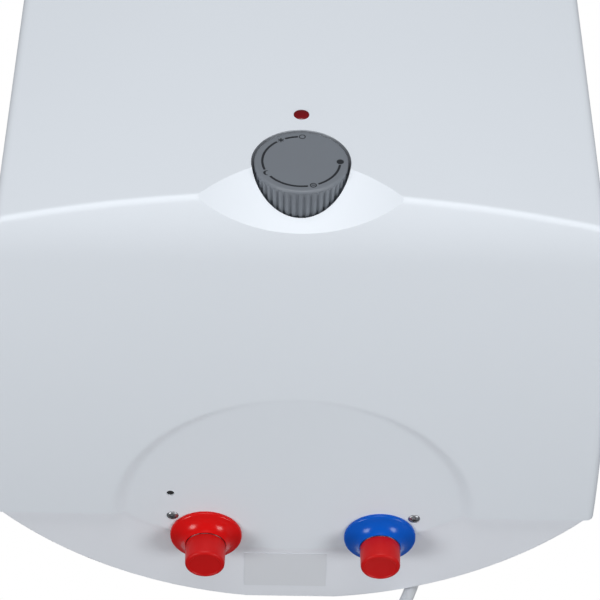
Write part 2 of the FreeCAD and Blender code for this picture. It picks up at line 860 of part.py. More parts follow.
def rosette(place):
    h, r, n, t = rosette_height, rosette_radius, rosette_neck, rosette_wall
    bore = thread_radius + rosette_clearance
    z = pad_z
    centre = vec(place.x, place.y, 0)

    def at(radius, drop):
        return centre + vec(radius, 0, z - drop)

    outside = [at(r, 0), at(r, 1.2), at(n, h), at(bore, h), at(bore, 0)]
    bulge = at((r + n) / 2 - 1.35, h / 2 + 0.7)
    wire = Part.Wire([
        Part.LineSegment(outside[0], outside[1]).toShape(),
        Part.Arc(outside[1], bulge, outside[2]).toShape(),
        Part.LineSegment(outside[2], outside[3]).toShape(),
        Part.LineSegment(outside[3], outside[4]).toShape(),
        Part.LineSegment(outside[4], outside[0]).toShape(),
    ])
    solid = Part.Face(wire).revolve(centre, Z, 360)
    hollow = Part.makeCone(r - t, bore + t, h - 2 * t, vec(place.x, place.y, z), Z * -1)
    return solid.cut(hollow)


def transport_cap(place):
    top = pad_z - rosette_height - cap_gap
    low = top - cap_length
    bore = thread_radius + cap_clearance
    profile = [
        (0, low), (cap_radius - 1.2, low), (cap_radius - 0.3, low + 1.2), (cap_radius, top),
        (bore, top), (bore, low + cap_end_wall), (0, low + cap_end_wall),
    ]
    return turned(profile, place)


def dial_knob():
    h = knob_height
    grip = []
    for k in range(knob_ribs):
        a = 2 * math.pi * k / knob_ribs
        step = 2 * math.pi / knob_ribs
        for share, radius in ((0.0, knob_radius), (0.3, knob_radius), (0.5, knob_radius - rib_depth), (0.8, knob_radius - rib_depth)):
            angle = a + share * step
            grip.append(vec(radius * math.cos(angle), radius * math.sin(angle), -h))
    body = prism(grip, Z * (h - knob_rim))
    face = cylinder(knob_radius, Z * -knob_rim, knob_rim)
    face = face.makeFillet(knob_rim / 2, edges_in(face, lambda b: b.ZMin > -knob_rim / 2 and b.XLength > knob_radius))
    body = joined([body, face])
    hollow = cylinder(knob_radius - rib_depth - knob_wall, Z * (-h - 1), h + 1 - knob_wall - 1)
    hub = cylinder(knob_hub_radius, Z * -h, h - knob_wall)
    body = joined([body.cut(hollow), hub]).cut(spindle_form(spindle_clearance, -h - 1, -knob_wall - 1.6))
    return on_front(body, knob_z)


def spindle_form(grow, low, high):
    """The round rod with one flat that the knob pushes on to."""
    rod = cylinder(spindle_radius + grow, Z * low, high - low)
    edge = spindle_radius - spindle_flat + grow
    return rod.cut(box(edge, far, -far, far, low - 1, high + 1))


def thermostat_front():
    return -knob_pocket_depth - casing_wall


def thermostat_spindle():
    low = thermostat_front() - thermostat_depth + 5
    flat_low = -knob_height - 1
    rod = cylinder(spindle_radius, Z * low, flat_low - low)
    return on_front(joined([rod, spindle_form(0, flat_low, -knob_wall - 2)]), knob_z)


def thermostat_body():
    front = thermostat_front()
    back = front - thermostat_depth
    w, h = thermostat_width / 2, thermostat_height / 2
    body = box(-w, w, -h, h, back, front)
    nose = cylinder(thermostat_nose_radius, Z * front, casing_wall)
    tabs = [box(x - 3, x + 3, -0.5, 0.5, back - 7, back) for x in (-9, 9)]
    body = joined([body, nose] + tabs)
    cuts = [cylinder(spindle_radius + spindle_clearance, Z * (back + 4), far)]
    cuts += [cylinder(m4_radius + weld_clearance, vec(side * thermostat_screw_spacing / 2, 0, front - 6), 7)
             for side in (-1, 1)]
    return on_front(body.cut(cuts), knob_z)


def thermostat_screws():
    seat = -knob_pocket_depth
    screws = []
    for side in (-1, 1):
        place = vec(side * thermostat_screw_spacing / 2, 0, 0)
        head = cylinder(m4_head_radius, place + Z * seat, m4_head_height)
        slot = box(place.x - far, place.x + far, -0.5, 0.5, seat + m4_head_height - 1, seat + far)
        shank = cylinder(m4_radius, place + Z * (thermostat_front() - 5), seat - thermostat_front() + 6)
        screws.append(on_front(joined([head.cut(slot), shank]), knob_z))
    return Part.makeCompound(screws)


def indicator_lens():
    dome_radius = (lamp_radius ** 2 + lamp_dome ** 2) / (2 * lamp_dome)
    ball = Part.makeSphere(dome_radius, Z * (lamp_dome - dome_radius))
    body = cylinder(lamp_radius, Z * -lamp_length, lamp_length + lamp_dome)
    return on_front(body.common(ball.fuse(cylinder(2 * lamp_radius, Z * -lamp_length, lamp_length))), lamp_z)


def lamp_holder():
    outer = lamp_radius + 2.5
    body = cylinder(outer, Z * (-lamp_length - 3), lamp_length + 3 - casing_wall - lamp_fit)
    bore = cylinder(lamp_radius + weld_clearance, Z * (-lamp_length - weld_clearance), lamp_length + 1)
    return on_front(body.cut(bore), lamp_z)


def bracket_top():
    return pad_z + cutout_rise


def cutout_bracket():
    z = bracket_top() - bracket_thickness
    plate = box(reset_x - bracket_length / 2, reset_x + bracket_length / 2, reset_y - bracket_width / 2,
                reset_y + bracket_width / 2, z, bracket_top())
    cuts = [cylinder(cutout_neck_radius + lamp_fit, vec(reset_x, reset_y, z), bracket_thickness)]
    cuts += [cylinder(block_screw_radius / 2 + lamp_fit, p + Z * z, bracket_thickness) for p in bracket_places()]
    return plate.cut(cuts)


def cutout_body():
    p = vec(reset_x, reset_y, 0)
    z = bracket_top()
    body = cylinder(cutout_radius, p + Z * z, cutout_height)
    neck = cylinder(cutout_neck_radius, p + Z * (z - 6), 6)
    tabs = [box(reset_x + x - 0.5, reset_x + x + 0.5, reset_y - 3, reset_y + 3, z + cutout_height - 0.5,
                z + cutout_height + 7) for x in (-5, 5)]
    bore = cylinder(reset_pin_radius + reset_clearance, p + Z * (z - 7), 7 + 6 + reset_travel)
    return joined([body, neck] + tabs).cut(bore)


def reset_button():
    p = vec(reset_x, reset_y, 0)
    tip_z = pad_z + reset_recess
    pin = cylinder(reset_pin_radius, p + Z * tip_z, bracket_top() + 4 - tip_z)
    tip = cylinder(reset_hole_radius - reset_clearance, p + Z * tip_z, 2 * casing_wall)
    return joined([pin, tip])


def small_screw(place, length):
    head = cylinder(block_screw_radius, place, 1.6)
    slot = box(place.x - far, place.x + far, place.y - 0.3, place.y + 0.3, place.z + 0.8, far)
    shank = cylinder(block_screw_radius / 2 - weld_clearance, place - Z * length, length)
    return joined([head.cut(slot), shank])


def block_screw_places():
    reach = block_length / 2 - 4
    return [vec(block_x + side * reach, -block_wall_distance, 0) for side in (-1, 1)]


def inner_screws():
    """Two screws through the cut-out's bracket and two through the terminal block."""
    screws = [small_screw(p + Z * bracket_top(), 8) for p in bracket_places()]
    block_top = rear_floor_z + casing_wall + block_height
    screws += [small_screw(p + Z * block_top, block_height + 1.5) for p in block_screw_places()]
    return Part.makeCompound(screws)


def terminal_block():
    z = rear_floor_z + casing_wall
    x0 = block_x - block_length / 2
    y0 = -block_wall_distance - block_width / 2
    body = box(x0, x0 + block_length, y0, y0 + block_width, z, z + block_height)
    cuts = [cylinder(block_screw_radius / 2 + lamp_fit, p + Z * z, block_height) for p in block_screw_places()]
    for x in lead_xs():
        cuts.append(cylinder(lead_radius + weld_clearance, vec(x, y0 - 1, block_lead_z()), 8, Y))
    seat = vec(block_x, -block_wall_distance, z + block_height - sheath_seat)
    cuts.append(cylinder(cord_radius + weld_clearance, seat, far))
    return body.cut(cuts)


def block_lead_z():
    return rear_floor_z + casing_wall + 7


def lead_xs():
    return [block_x - 8, block_x, block_x + 8]


def cover_screws():
    screws = []
    for p in screw_places():
        seat = pad_z + screw_sink
        head = cylinder(screw_head_radius, vec(p.x, p.y, seat - screw_head_height), screw_head_height)
        head = head.makeFillet(0.8, edges_in(head, lambda b: b.ZMax < seat - 1 and b.XLength > screw_head_radius))
        low = seat - screw_head_height - 1
        arms = [box(p.x - a, p.x + a, p.y - b, p.y + b, low, low + 2) for a, b in ((2.0, 0.4), (0.4, 2.0))]
        shank = cylinder(screw_shank_radius, vec(p.x, p.y, seat - 0.5), screw_length)
        screws.append(joined([head.cut(arms), shank]))
    return Part.makeCompound(screws)


def rating_plate():
    """A blank foil plate under the rear cover."""
    z = rear_floor_z
    return box(plate_x - plate_length / 2, plate_x + plate_length / 2, plate_y - plate_width, plate_y,
               z - plate_thickness, z)


def cord_gland():
    axis = gland_axis()
    base = gland_base()
    relief = Part.makeCone(gland_base_radius, gland_tip_radius, gland_length, base, axis)
    neck_start = base - axis * (casing_wall + gland_collar_height)
    neck = cylinder(gland_neck_radius - lamp_fit, neck_start, casing_wall + gland_collar_height + 1, axis)
    collar = cylinder(gland_collar_radius, base, gland_collar_height, axis)
    return joined([relief, neck, collar])


def path_wire(points):
    """Straight runs joined by tangent arcs, each as large as its two runs allow, with the arcs' radii."""
    points = [vec(*p) for p in points]
    edges, radii = [], []
    at = points[0]
    for a, b, c in zip(points, points[1:], points[2:]):
        before = (a - b).normalize()
        after = (c - b).normalize()
        half_turn = (math.pi - before.getAngle(after)) / 2
        reach = 0.45 * min((a - b).Length, (c - b).Length)
        radius = reach / math.tan(half_turn)
        start = b + before * reach
        end = b + after * reach
        inward = (before + after).normalize()
        middle = b + inward * (radius / math.cos(half_turn) - radius)
        edges.append(Part.LineSegment(at, start).toShape())
        edges.append(Part.Arc(start, middle, end).toShape())
        radii.append(radius)
        at = end
    edges.append(Part.LineSegment(at, points[-1]).toShape())
    return Part.Wire(edges), radii


def swept(wire, radius):
    first = wire.Edges[0]
    start = first.valueAt(first.FirstParameter)
    direction = first.tangentAt(first.FirstParameter)
    ring = Part.Wire(Part.makeCircle(radius, start, direction))
    return wire.makePipeShell([ring], True, False)


def cord_tube(name, points, radius):
    wire, radii = path_wire(points)
    solid = swept(wire, radius)
    expected = math.pi * radius ** 2 * wire.Length
    listed = " ".join(f"{r:.0f}" for r in radii)
    print(f"{name}: length {wire.Length:.0f}, radii {listed}, volume over section times length "
          f"{solid.Volume / expected:.4f}")
    return solid


def cord_tail():
    """The lead's sheath from the gland to the terminal block."""
    inner_end = gland_base() - gland_axis() * (casing_wall + gland_collar_height)
    rising = inner_end - gland_axis() * 26
    block_top = rear_floor_z + casing_wall + block_height
    points = [
        tuple(inner_end),
        tuple(rising),
        (block_x, -60.0, rising.z - 4),
        (block_x, -block_wall_distance, block_top + 18),
        (block_x, -block_wall_distance, block_top - sheath_seat + weld_clearance),
    ]
    return cord_tube("cord_tail", points, cord_radius)


def block_lead_run(x, first_y):
    """A lead's start in the block's front face and the end of its first straight run."""
    start = -block_wall_distance - block_width / 2 + 7 - weld_clearance
    return [(x, start, block_lead_z()), (x, first_y, block_lead_z())]


def lead_live():
    tab_z = bracket_top() + cutout_height + 7 + weld_clearance
    x = reset_x - 5
    points = block_lead_run(lead_xs()[0], -100) + [
        (84, -108, -345), (36, -102, -333), (-20, -98, -328), (x, reset_y, -322), (x, reset_y, tab_z),
    ]
    return cord_tube("lead_live", points, lead_radius)


def on_front_point(x, y, out, z):
    up = lean_direction()
    return front_point(z) + X * x + up * y + front_out() * out


def thermostat_tab(x, out):
    """A point behind the thermostat's tab at x, that far from its end."""
    return tuple(on_front_point(x, 0, thermostat_front() - thermostat_depth - 7 - out, knob_z))


def lead_switched():
    tab_z = bracket_top() + cutout_height + 7 + weld_clearance
    x = reset_x + 5
    points = [
        (x, reset_y, tab_z), (x, reset_y, -320), (-48, -148, -322), (-22, -196, -338),
        thermostat_tab(-9, 28), thermostat_tab(-9, weld_clearance),
    ]
    return cord_tube("lead_switched", points, lead_radius)


def lead_load():
    x = element_places()[1].x
    points = [
        thermostat_tab(9, weld_clearance), thermostat_tab(9, 28), (12, -170, -350), (x, tank_y, -350),
        (x, tank_y, flange_z - element_pin_drop - weld_clearance),
    ]
    return cord_tube("lead_load", points, lead_radius)


def lead_neutral():
    x = element_places()[0].x
    points = block_lead_run(lead_xs()[1], -106) + [
        (74, -124, -364), (24, -124, -364), (x, tank_y, -358),
        (x, tank_y, flange_z - element_pin_drop - weld_clearance),
    ]
    return cord_tube("lead_neutral", points, lead_radius)


def lead_earth():
    stud = flange_stud_places()[0]
    end = flange_z - m6_nut_height - 1.5 - weld_clearance
    points = block_lead_run(lead_xs()[2], -106) + [
        (98, -128, -352), (66, -126, -337), (stud.x, stud.y, -337), (stud.x, stud.y, end),
    ]
    return cord_tube("lead_earth", points, lead_radius)


def lamp_leads():
    tubes = []
    for x in (-2.5, 2.5):
        start = on_front_point(x, 0, -lamp_length - 3 - weld_clearance, lamp_z)
        away = on_front_point(x, 0, -lamp_length - 13, lamp_z)
        down = on_front_point(2 * x, -14, -lamp_length - 20, lamp_z)
        body_top = on_front_point(2 * x, thermostat_height / 2 + weld_clearance, thermostat_front() - 10, knob_z)
        points = [tuple(start), tuple(away), tuple(down), tuple(body_top)]
        tubes.append(cord_tube("lamp lead", points, lead_radius / 2))
    return Part.makeCompound(tubes)


def thermostat_capillary():
    """The thin copper tube from the thermostat, and the bulb at its end inside the thermowell."""
    back = thermostat_front() - thermostat_depth
    start = on_front_point(0, -8, back - weld_clearance, knob_z)
    away = on_front_point(0, -8, back - 14, knob_z)
    p = well_place()
    mouth = flange_z - flange_thickness
    bulb_low = mouth + 20
    points = [
        tuple(start), tuple(away), (-14, -215, -348), (-8, -168, -346), (p.x, p.y, -336), (p.x, p.y, bulb_low + 1),
    ]
    tube = cord_tube("capillary", points, capillary_radius)
    return joined([tube, cylinder(bulb_radius, p + Z * bulb_low, bulb_length)])


def power_cord():
    return cord_tube("power_cord", cord_route, cord_radius)


def coil_radius(turn):
    """The radius after so many turns: inwards in the first layer, a bend, outwards in the second."""
    slope = coil_pitch
    reverse = coil_turns / 2
    reach = reverse - 0.25
    outer = coil_mid_radius + slope * reach / 2
    away = abs(turn - reverse)
    if away > 0.25:
        return outer - slope * (reverse - away)
    return outer - slope * reach - slope * 0.125 + slope * away ** 2 * 2


def coil_layer(turn):
    """0 in the first layer, 1 in the second, and a smooth climb in the half turn between them."""
    share = min(max((turn - coil_turns / 2) / 0.5 + 0.5, 0.0), 1.0)
    return share * share * (3 - 2 * share)


def coil_first_turn():
    """Where the spiral starts, just before the side, so that it starts straight down."""
    slope = coil_pitch / (2 * math.pi)
    return -math.atan2(slope, coil_radius(0)) / (2 * math.pi)


def coil_centre():
    """The coil hangs from the route's end, which runs straight down beside it."""
    end = vec(*cord_route[-1])
    first = coil_first_turn()
    angle = 2 * math.pi * first
    x = end.x + coil_radius(first) * math.cos(angle)
    z = end.z - cord_diameter + coil_radius(first) * math.sin(angle)
    return vec(x, end.y, z)


def coil_point(turn):
    angle = 2 * math.pi * turn
    radius = coil_radius(turn)
    centre = coil_centre()
    return vec(centre.x - radius * math.cos(angle), centre.y - coil_pitch * coil_layer(turn),
               centre.z - radius * math.sin(angle))


def coil_tangent(turn):
    step = 1e-5
    return (coil_point(turn + step) - coil_point(turn - step)).normalize()


def biarc(p0, t0, p1, t1):
    """Two arcs that leave p0 along t0, meet smoothly and reach p1 along t1."""
    v = p1 - p0
    t = t0 + t1
    a = 2 * (t0.dot(t1) - 1)
    b = -2 * v.dot(t)
    c = v.dot(v)
    if abs(a) < 1e-9:
        d = -c / b
    else:
        d = (-b - math.sqrt(b * b - 4 * a * c)) / (2 * a)
    joint = (p0 + t0 * d + p1 - t1 * d) * 0.5
    first, direction = arc_on(p0, t0, joint)
    second, _ = arc_on(joint, direction, p1)
    return [first, second]


def coil_stations():
    first = coil_first_turn()
    last = coil_turns - first
    inner = [k / 4 for k in range(1, int(4 * coil_turns))]
    return [first] + inner + [last]


def coil_wire():
    down = Z * -1
    stations = coil_stations()
    start = coil_point(stations[0])
    end = coil_point(stations[-1])
    edges = [Part.LineSegment(start - down * cord_diameter, start).toShape()]
    tangents = [down] + [coil_tangent(s) for s in stations[1:-1]] + [down]
    for (s0, t0), (s1, t1) in zip(zip(stations, tangents), zip(stations[1:], tangents[1:])):
        edges += biarc(coil_point(s0), t0, coil_point(s1), t1)
    edges.append(Part.LineSegment(end, end + down * coil_end_run).toShape())
    return Part.Wire(edges)


def coil_end():
    return coil_point(coil_turns - coil_first_turn()) - Z * coil_end_run


def coil_gap():
    """The least gap between one turn and another, on points along the turns."""
    count = 72
    turns = [k / count for k in range(int(count * coil_turns) + 1)]
    points = [coil_point(t) for t in turns]
    least = far
    for i, a in enumerate(points):
        for b in points[i + count // 2:]:
            least = min(least, (a - b).Length)
    return least - cord_diameter


def cord_coil():
    wire = coil_wire()
    solid = swept(wire, cord_radius)
    expected = math.pi * cord_radius ** 2 * wire.Length
    print(f"cord_coil: length {wire.Length:.0f}, least gap between turns {coil_gap():.2f}, "
          f"volume over section times length {solid.Volume / expected:.4f}")
    return solid


def coil_tie():
    """A band round the bundle at the coil's far side."""
    centre = coil_centre()
    inner = coil_radius(coil_turns / 2) - cord_radius - tie_clearance
    outer = coil_radius(0.5) + cord_radius + tie_clearance
    y_back = centre.y + cord_radius + tie_clearance
    y_front = centre.y - coil_pitch - cord_radius - tie_clearance
    z = centre.z - tie_width / 2
    t = tie_thickness
    x = centre.x
    hole = box(x + inner, x + outer, y_front, y_back, z - 1, z + tie_width + 1)
    band = box(x + inner - t, x + outer + t, y_front - t, y_back + t, z, z + tie_width)
    corners = edges_in(band, lambda b: b.ZLength > tie_width / 2)
    return band.makeFillet(t, corners).cut(hole)


def plug_places():
    """The plug's centre line, the top of its relief and the face that its pins stand on."""
    top = coil_end()
    face_z = top.z - plug_relief_length - plug_neck_length - plug_depth
    return top, face_z


def plug_body():
    top, face_z = plug_places()
    at = vec(top.x, top.y, 0)
    relief_z = top.z - plug_relief_length
    relief = Part.makeCone(plug_relief_radius + 1.5, plug_relief_radius, plug_relief_length, at + Z * relief_z)
    neck_z = relief_z - plug_neck_length
    neck = Part.makeCone(plug_radius - 4, plug_neck_radius, plug_neck_length, at + Z * neck_z)
    disc = cylinder(plug_radius, at + Z * face_z, plug_depth)
    disc = disc.makeFillet(2, edges_in(disc, lambda b: b.ZLength < 1 and b.XLength > plug_radius))
    body = joined([relief, neck, disc])
    cuts = [cylinder(pin_radius + weld_clearance, p + Z * (face_z - 1), 11) for p in pin_places()]
    cuts += [clip_slot(side, weld_clearance) for side in (-1, 1)]
    return body.cut(cuts)


def pin_places():
    top, _ = plug_places()
    return [vec(top.x + side * pin_spacing / 2, top.y, 0) for side in (-1, 1)]


def clip_slot(side, grow):
    """An earth contact strip let into the plug's side, or its slot when grown."""
    top, face_z = plug_places()
    w = clip_width / 2 + grow
    outer = plug_radius - 0.6 + (far if grow else 0)
    inner = plug_radius - 0.6 - clip_thickness - grow
    y0, y1 = sorted((top.y + side * inner, top.y + side * outer))
    return box(top.x - w, top.x + w, y0, y1, face_z + 3 - grow, face_z + plug_depth - 4 + grow)


def plug_earth_clips():
    return Part.makeCompound([clip_slot(side, 0) for side in (-1, 1)])


def plug_pins():
    _, face_z = plug_places()
    pins = []
    for p in pin_places():
        pin = cylinder(pin_radius, p + Z * (face_z - pin_length), pin_length + 9)
        tip = edges_in(pin, lambda b: b.ZMax < face_z - pin_length / 2 and b.XLength > pin_radius)
        pins.append(pin.makeFillet(1.2, tip))
    return Part.makeCompound(pins)


def main():
    os.makedirs("parts", exist_ok=True)
    hot, cold = pipe_places()
    save("front_cover", front_cover())
    save("rear_cover", rear_cover())
    save("cover_screws", cover_screws())
    save("rating_plate", rating_plate())
    save("inner_tank", inner_tank())
    save("flange_gasket", flange_gasket())
    save("flange_plate", flange_plate())
    save("flange_nuts", flange_nuts())
    save("heating_element", heating_element())
    save("thermowell", thermowell())
    save("anode_rod", anode_rod())
    save("cold_inlet_pipe", cold_inlet_pipe())
    save("hot_outlet_pipe", hot_outlet_pipe())
    save("cold_diffuser", cold_diffuser())
    save("insulation_front", insulation(True))
    save("insulation_rear", insulation(False))
    save("hanger_plate", hanger_plate())
    save("hanger_nuts", hanger_nuts())
    save("hot_rosette", rosette(hot))
    save("cold_rosette", rosette(cold))
    save("hot_cap", transport_cap(hot))
    save("cold_cap", transport_cap(cold))
    save("dial_knob", dial_knob())
    save("thermostat_spindle", thermostat_spindle())
    save("thermostat_body", thermostat_body())
    save("thermostat_screws", thermostat_screws())
    save("thermostat_capillary", thermostat_capillary())
    save("indicator_lens", indicator_lens())
    save("lamp_holder", lamp_holder())
    save("lamp_leads", lamp_leads())
    save("cutout_bracket", cutout_bracket())
    save("cutout_body", cutout_body())
    save("reset_button", reset_button())
    save("inner_screws", inner_screws())
    save("terminal_block", terminal_block())
    save("lead_live", lead_live())
    save("lead_switched", lead_switched())
    save("lead_load", lead_load())
    save("lead_neutral", lead_neutral())
    save("lead_earth", lead_earth())
    save("cord_tail", cord_tail())
    save("cord_gland", cord_gland())
    save("power_cord", power_cord())
    save("cord_coil", cord_coil())
    save("coil_tie", coil_tie())
    save("plug_body", plug_body())
    save("plug_pins", plug_pins())
    save("plug_earth_clips", plug_earth_clips())


if __name__ == "__main__":
    main()
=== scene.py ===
import json
import math

import bmesh
import bpy
import numpy as np
from mathutils import Matrix, Vector


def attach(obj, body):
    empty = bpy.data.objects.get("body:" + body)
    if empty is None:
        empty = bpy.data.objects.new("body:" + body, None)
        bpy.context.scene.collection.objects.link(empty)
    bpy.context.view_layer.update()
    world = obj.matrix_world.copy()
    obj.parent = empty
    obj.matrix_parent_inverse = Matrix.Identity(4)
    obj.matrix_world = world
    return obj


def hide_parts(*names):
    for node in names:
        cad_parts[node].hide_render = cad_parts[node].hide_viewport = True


# A small storage water heater seen from below and in front, as it hangs on its wall.
# Metres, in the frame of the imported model: the wall is the plane y = 0, -Y is towards the user.

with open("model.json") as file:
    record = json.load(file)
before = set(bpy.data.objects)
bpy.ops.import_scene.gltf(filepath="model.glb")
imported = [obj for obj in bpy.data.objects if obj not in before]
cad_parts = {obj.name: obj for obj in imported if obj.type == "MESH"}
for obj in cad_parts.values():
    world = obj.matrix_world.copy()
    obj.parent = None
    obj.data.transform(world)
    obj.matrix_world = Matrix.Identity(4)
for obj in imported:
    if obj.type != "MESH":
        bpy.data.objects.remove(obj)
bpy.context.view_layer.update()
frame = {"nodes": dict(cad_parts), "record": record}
nodes = frame["nodes"]
mm = 0.001

# Sizes of the casing, the same as in the part's source

top_z = 110 * mm
top_fall_front = 14 * mm
top_fall_rear = 6 * mm
pad_z = -390 * mm
wing_z = pad_z - 2.5 * mm
rear_floor_z = pad_z + 1.5 * mm
crease_z = pad_z + 20 * mm
front_y = -310 * mm
parting_y = -80 * mm
rear_parting_y = -79.7 * mm
half_width = 171 * mm
front_half_width = 151.5 * mm
side_bulge = 4.5 * mm
bow_radius = 790 * mm
rear_land = 26.35 * mm
rear_centre_y = (half_width**2 + parting_y**2 - rear_land**2) / (2 * parting_y)
rear_radius = math.hypot(rear_land, rear_centre_y)
lean = math.radians(3)
up = Vector((0, math.sin(lean), math.cos(lean)))
outward = Vector((0, -math.cos(lean), math.sin(lean)))
chin_start_y = parting_y - 96 * mm
chin_break_y = front_y + 38 * mm
chin_break_rise = 8.5 * mm
crease_rounding = 2.5 * mm
edge_rounding = 4.5 * mm
rear_edge_rounding = 1.2 * mm
pad_edge_rounding = 0.4 * mm
pad_radius = 95 * mm
pad_slope = 3.0
tongue_radius = 159 * mm
tongue_reach = 97 * mm
tongue_y = parting_y - math.sqrt(tongue_radius**2 - tongue_reach**2)
wall = 3 * mm
gap = 0.3 * mm

# Sizes of what is on the casing or goes through it

pipe_sides = (-1, 1)
pipe_x = 50 * mm
pipe_y = -59.5 * mm
pipe_hole_radius = 11.3 * mm
screw_x = 68.9 * mm
screw_y = -76 * mm
screw_hole_radius = 3.5 * mm
screw_seat = 1.2 * mm
reset_x = -69.8 * mm
reset_y = -95.8 * mm
reset_hole_radius = 2.2 * mm
scoop_radius = 118 * mm
scoop_top_z = pad_z + 47 * mm
scoop_foot_y = -289.6 * mm
knob_radius = 24.5 * mm
knob_pocket_radius = 25.9 * mm
knob_pocket_depth = 23 * mm
thermostat_nose_radius = 5.5 * mm
lamp_radius = 4.1 * mm
cord_diameter = 7.4 * mm

# Fineness of the casing's skins: cuts of each edge of the cube that they are drawn from

skin_cuts = 79
hollow_cuts = 31
pad_edge_cuts = 4


def front_point(z):
    """The front's middle line at height z."""
    return Vector((0, front_y + (z - crease_z) * math.tan(lean), z))


def on_front(z):
    """The place of a fitting on the front: its own z points out of the front, its own y up."""
    turn = Matrix((Vector((1, 0, 0)), up, outward)).transposed()
    return Matrix.Translation(front_point(z)) @ turn.to_4x4()


def moved(x, y, z):
    return Matrix.Translation((x, y, z))


def along_own(place, distance):
    """The place, moved along its own z."""
    return place @ moved(0, 0, distance)


knob_place = on_front(pad_z + 46.2 * mm)
lamp_place = on_front(pad_z + 84.8 * mm)


# The casing's outline as curves

def tangent_arc(start, heading, end):
    """Centre and radius of the arc from start along heading to end, and its heading there."""
    chord = end - start
    side = np.array([-heading[1], heading[0]])
    side = side * np.sign(chord @ side)
    radius = chord @ chord / (2 * chord @ side)
    along = chord / np.linalg.norm(chord)
    return start + side * radius, radius, 2 * (heading @ along) * along - heading


def circle_through(a, b, c):
    """Centre and radius of the circle through three points."""
    rows = 2 * np.array([b - a, c - a])
    centre = np.linalg.solve(rows, np.array([b @ b - a @ a, c @ c - a @ a]))
    return centre, np.linalg.norm(a - centre)


def underside_arcs():
    """The underside's arcs from the parting plane to the crease, and the heading at the crease."""
    stops = [
        np.array([parting_y, wing_z]),
        np.array([chin_start_y, pad_z]),
        np.array([chin_break_y, pad_z + chin_break_rise]),
        np.array([front_y, crease_z]),
    ]
    heading = np.array([-1.0, 0.0])
    arcs = []
    for start, end in zip(stops, stops[1:]):
        centre, radius, heading = tangent_arc(start, heading, end)
        arcs.append((end[0], centre, radius))
    return arcs, heading


chin_arcs, crease_heading = underside_arcs()
front_margin = 40 * mm
ahead_y = front_y + front_margin * crease_heading[0]
top_centre, top_radius = circle_through(
    np.array([ahead_y, top_z - top_fall_front]),
    np.array([parting_y, top_z]),
    np.array([0, top_z - top_fall_rear]),
)
side_front = np.array([front_y - front_margin / 2, front_half_width])
side_rear = np.array([parting_y, half_width])
side_middle = (side_front + side_rear) / 2 + np.array([0, side_bulge])
side_centre, side_radius = circle_through(side_front, side_middle, side_rear)
bow_middle = -front_y * math.cos(lean) + crease_z * math.sin(lean) - bow_radius


def underside(y):
    height = np.full(np.shape(y), wing_z)
    limit = parting_y
    for end, centre, radius in chin_arcs:
        inside = np.clip(radius**2 - (y - centre[0]) ** 2, 0, None)
        height = np.where(y < limit, centre[1] - np.sqrt(inside), height)
        limit = end
    return height


def top_height(y):
    return top_centre[1] + np.sqrt(top_radius**2 - (y - top_centre[0]) ** 2)


def side_reach(y):
    return side_centre[1] + np.sqrt(side_radius**2 - (y - side_centre[0]) ** 2)


def back_reach(y):
    return np.sqrt(np.clip(rear_radius**2 - (y - rear_centre_y) ** 2, 0, None))


def front_reach(x, z):
    across = bow_middle + np.sqrt(bow_radius**2 - x**2)
    return (z * math.sin(lean) - across) / math.cos(lean)


# The casing's faces as distances, negative inside

def rounded(a, b, radius):
    """Two faces that meet in a rounding of that radius."""
    both = np.hypot(np.maximum(a + radius, 0), np.maximum(b + radius, 0)) - radius
    return np.where(np.maximum(a, b) < -radius, np.maximum(a, b), both)


def pad_face(x, y, z):
    """The flat pad and the soft slope that runs down from it to the wings."""
    sharpness = 1.5
    largest = 30
    away = (np.hypot(x, y - parting_y) - pad_radius) / mm
    slope = np.log1p(np.exp(np.clip(away * sharpness, -largest, largest))) / sharpness
    return pad_z - slope * mm / pad_slope - z


def front_cover_shape(points):
    x, y, z = points.T
    across = -y * math.cos(lean) + z * math.sin(lean) - bow_middle
    front = np.hypot(x, across) - bow_radius
    below = rounded(underside(y) - z, pad_face(x, y, z), pad_edge_rounding)
    shape = rounded(front, below, crease_rounding)
    shape = rounded(shape, np.abs(x) - side_reach(y), edge_rounding)
    return rounded(shape, z - top_height(y), edge_rounding)


def rear_cover_shape(points):
    x, y, z = points.T
    shape = np.maximum(np.hypot(x, y - rear_centre_y) - rear_radius, y)
    shape = rounded(shape, rear_floor_z - z, rear_edge_rounding)
    return rounded(shape, z - top_height(y), edge_rounding)


def within(shape):
    """The same shape, one wall further in."""
    return lambda points: shape(points) + wall


def settled(points, shape):
    """Move the points on to the face of the shape, in a few steps down its slope."""
    rounds = 8
    step = 1e-6
    least = 1e-3
    for _ in range(rounds):
        value = shape(points)
        slope = np.stack([(shape(points + step * axis) - value) / step for axis in np.eye(3)], axis=1)
        steepness = np.clip((slope**2).sum(axis=1), least, None)
        points = points - (value / steepness)[:, None] * slope
    return points


def gathered(share):
    """From 0 to 1 in steps that are finest at both ends."""
    strength = 0.97
    return share - strength * np.sin(2 * math.pi * share) / (2 * math.pi)


def front_place(share):
    """Points of the sharp front cover for shares across, back and up."""
    rounds = 6
    across, back, rise = share.T
    y = front_y + back * (parting_y - front_y)
    for _ in range(rounds):
        x = (2 * across - 1) * side_reach(y)
        z = underside(y) + rise * (top_height(y) - underside(y))
        ahead = front_reach(x, z)
        y = ahead + back * (parting_y - ahead)
    return np.stack([x, y, z], axis=1)


def rear_place(share):
    """Points of the sharp rear cover for shares across, back and up."""
    across, back, rise = share.T
    y = rear_parting_y * (1 - back)
    x = (2 * across - 1) * back_reach(y)
    z = rear_floor_z + rise * (top_height(y) - rear_floor_z)
    return np.stack([x, y, z], axis=1)


# Meshes

same_place = 1e-6


def all_points(bm):
    return np.array([v.co for v in bm.verts])


def place_points(bm, points):
    for vert, point in zip(bm.verts, points):
        vert.co = point


def outward_normals(bm):
    bmesh.ops.recalc_face_normals(bm, faces=bm.faces[:])


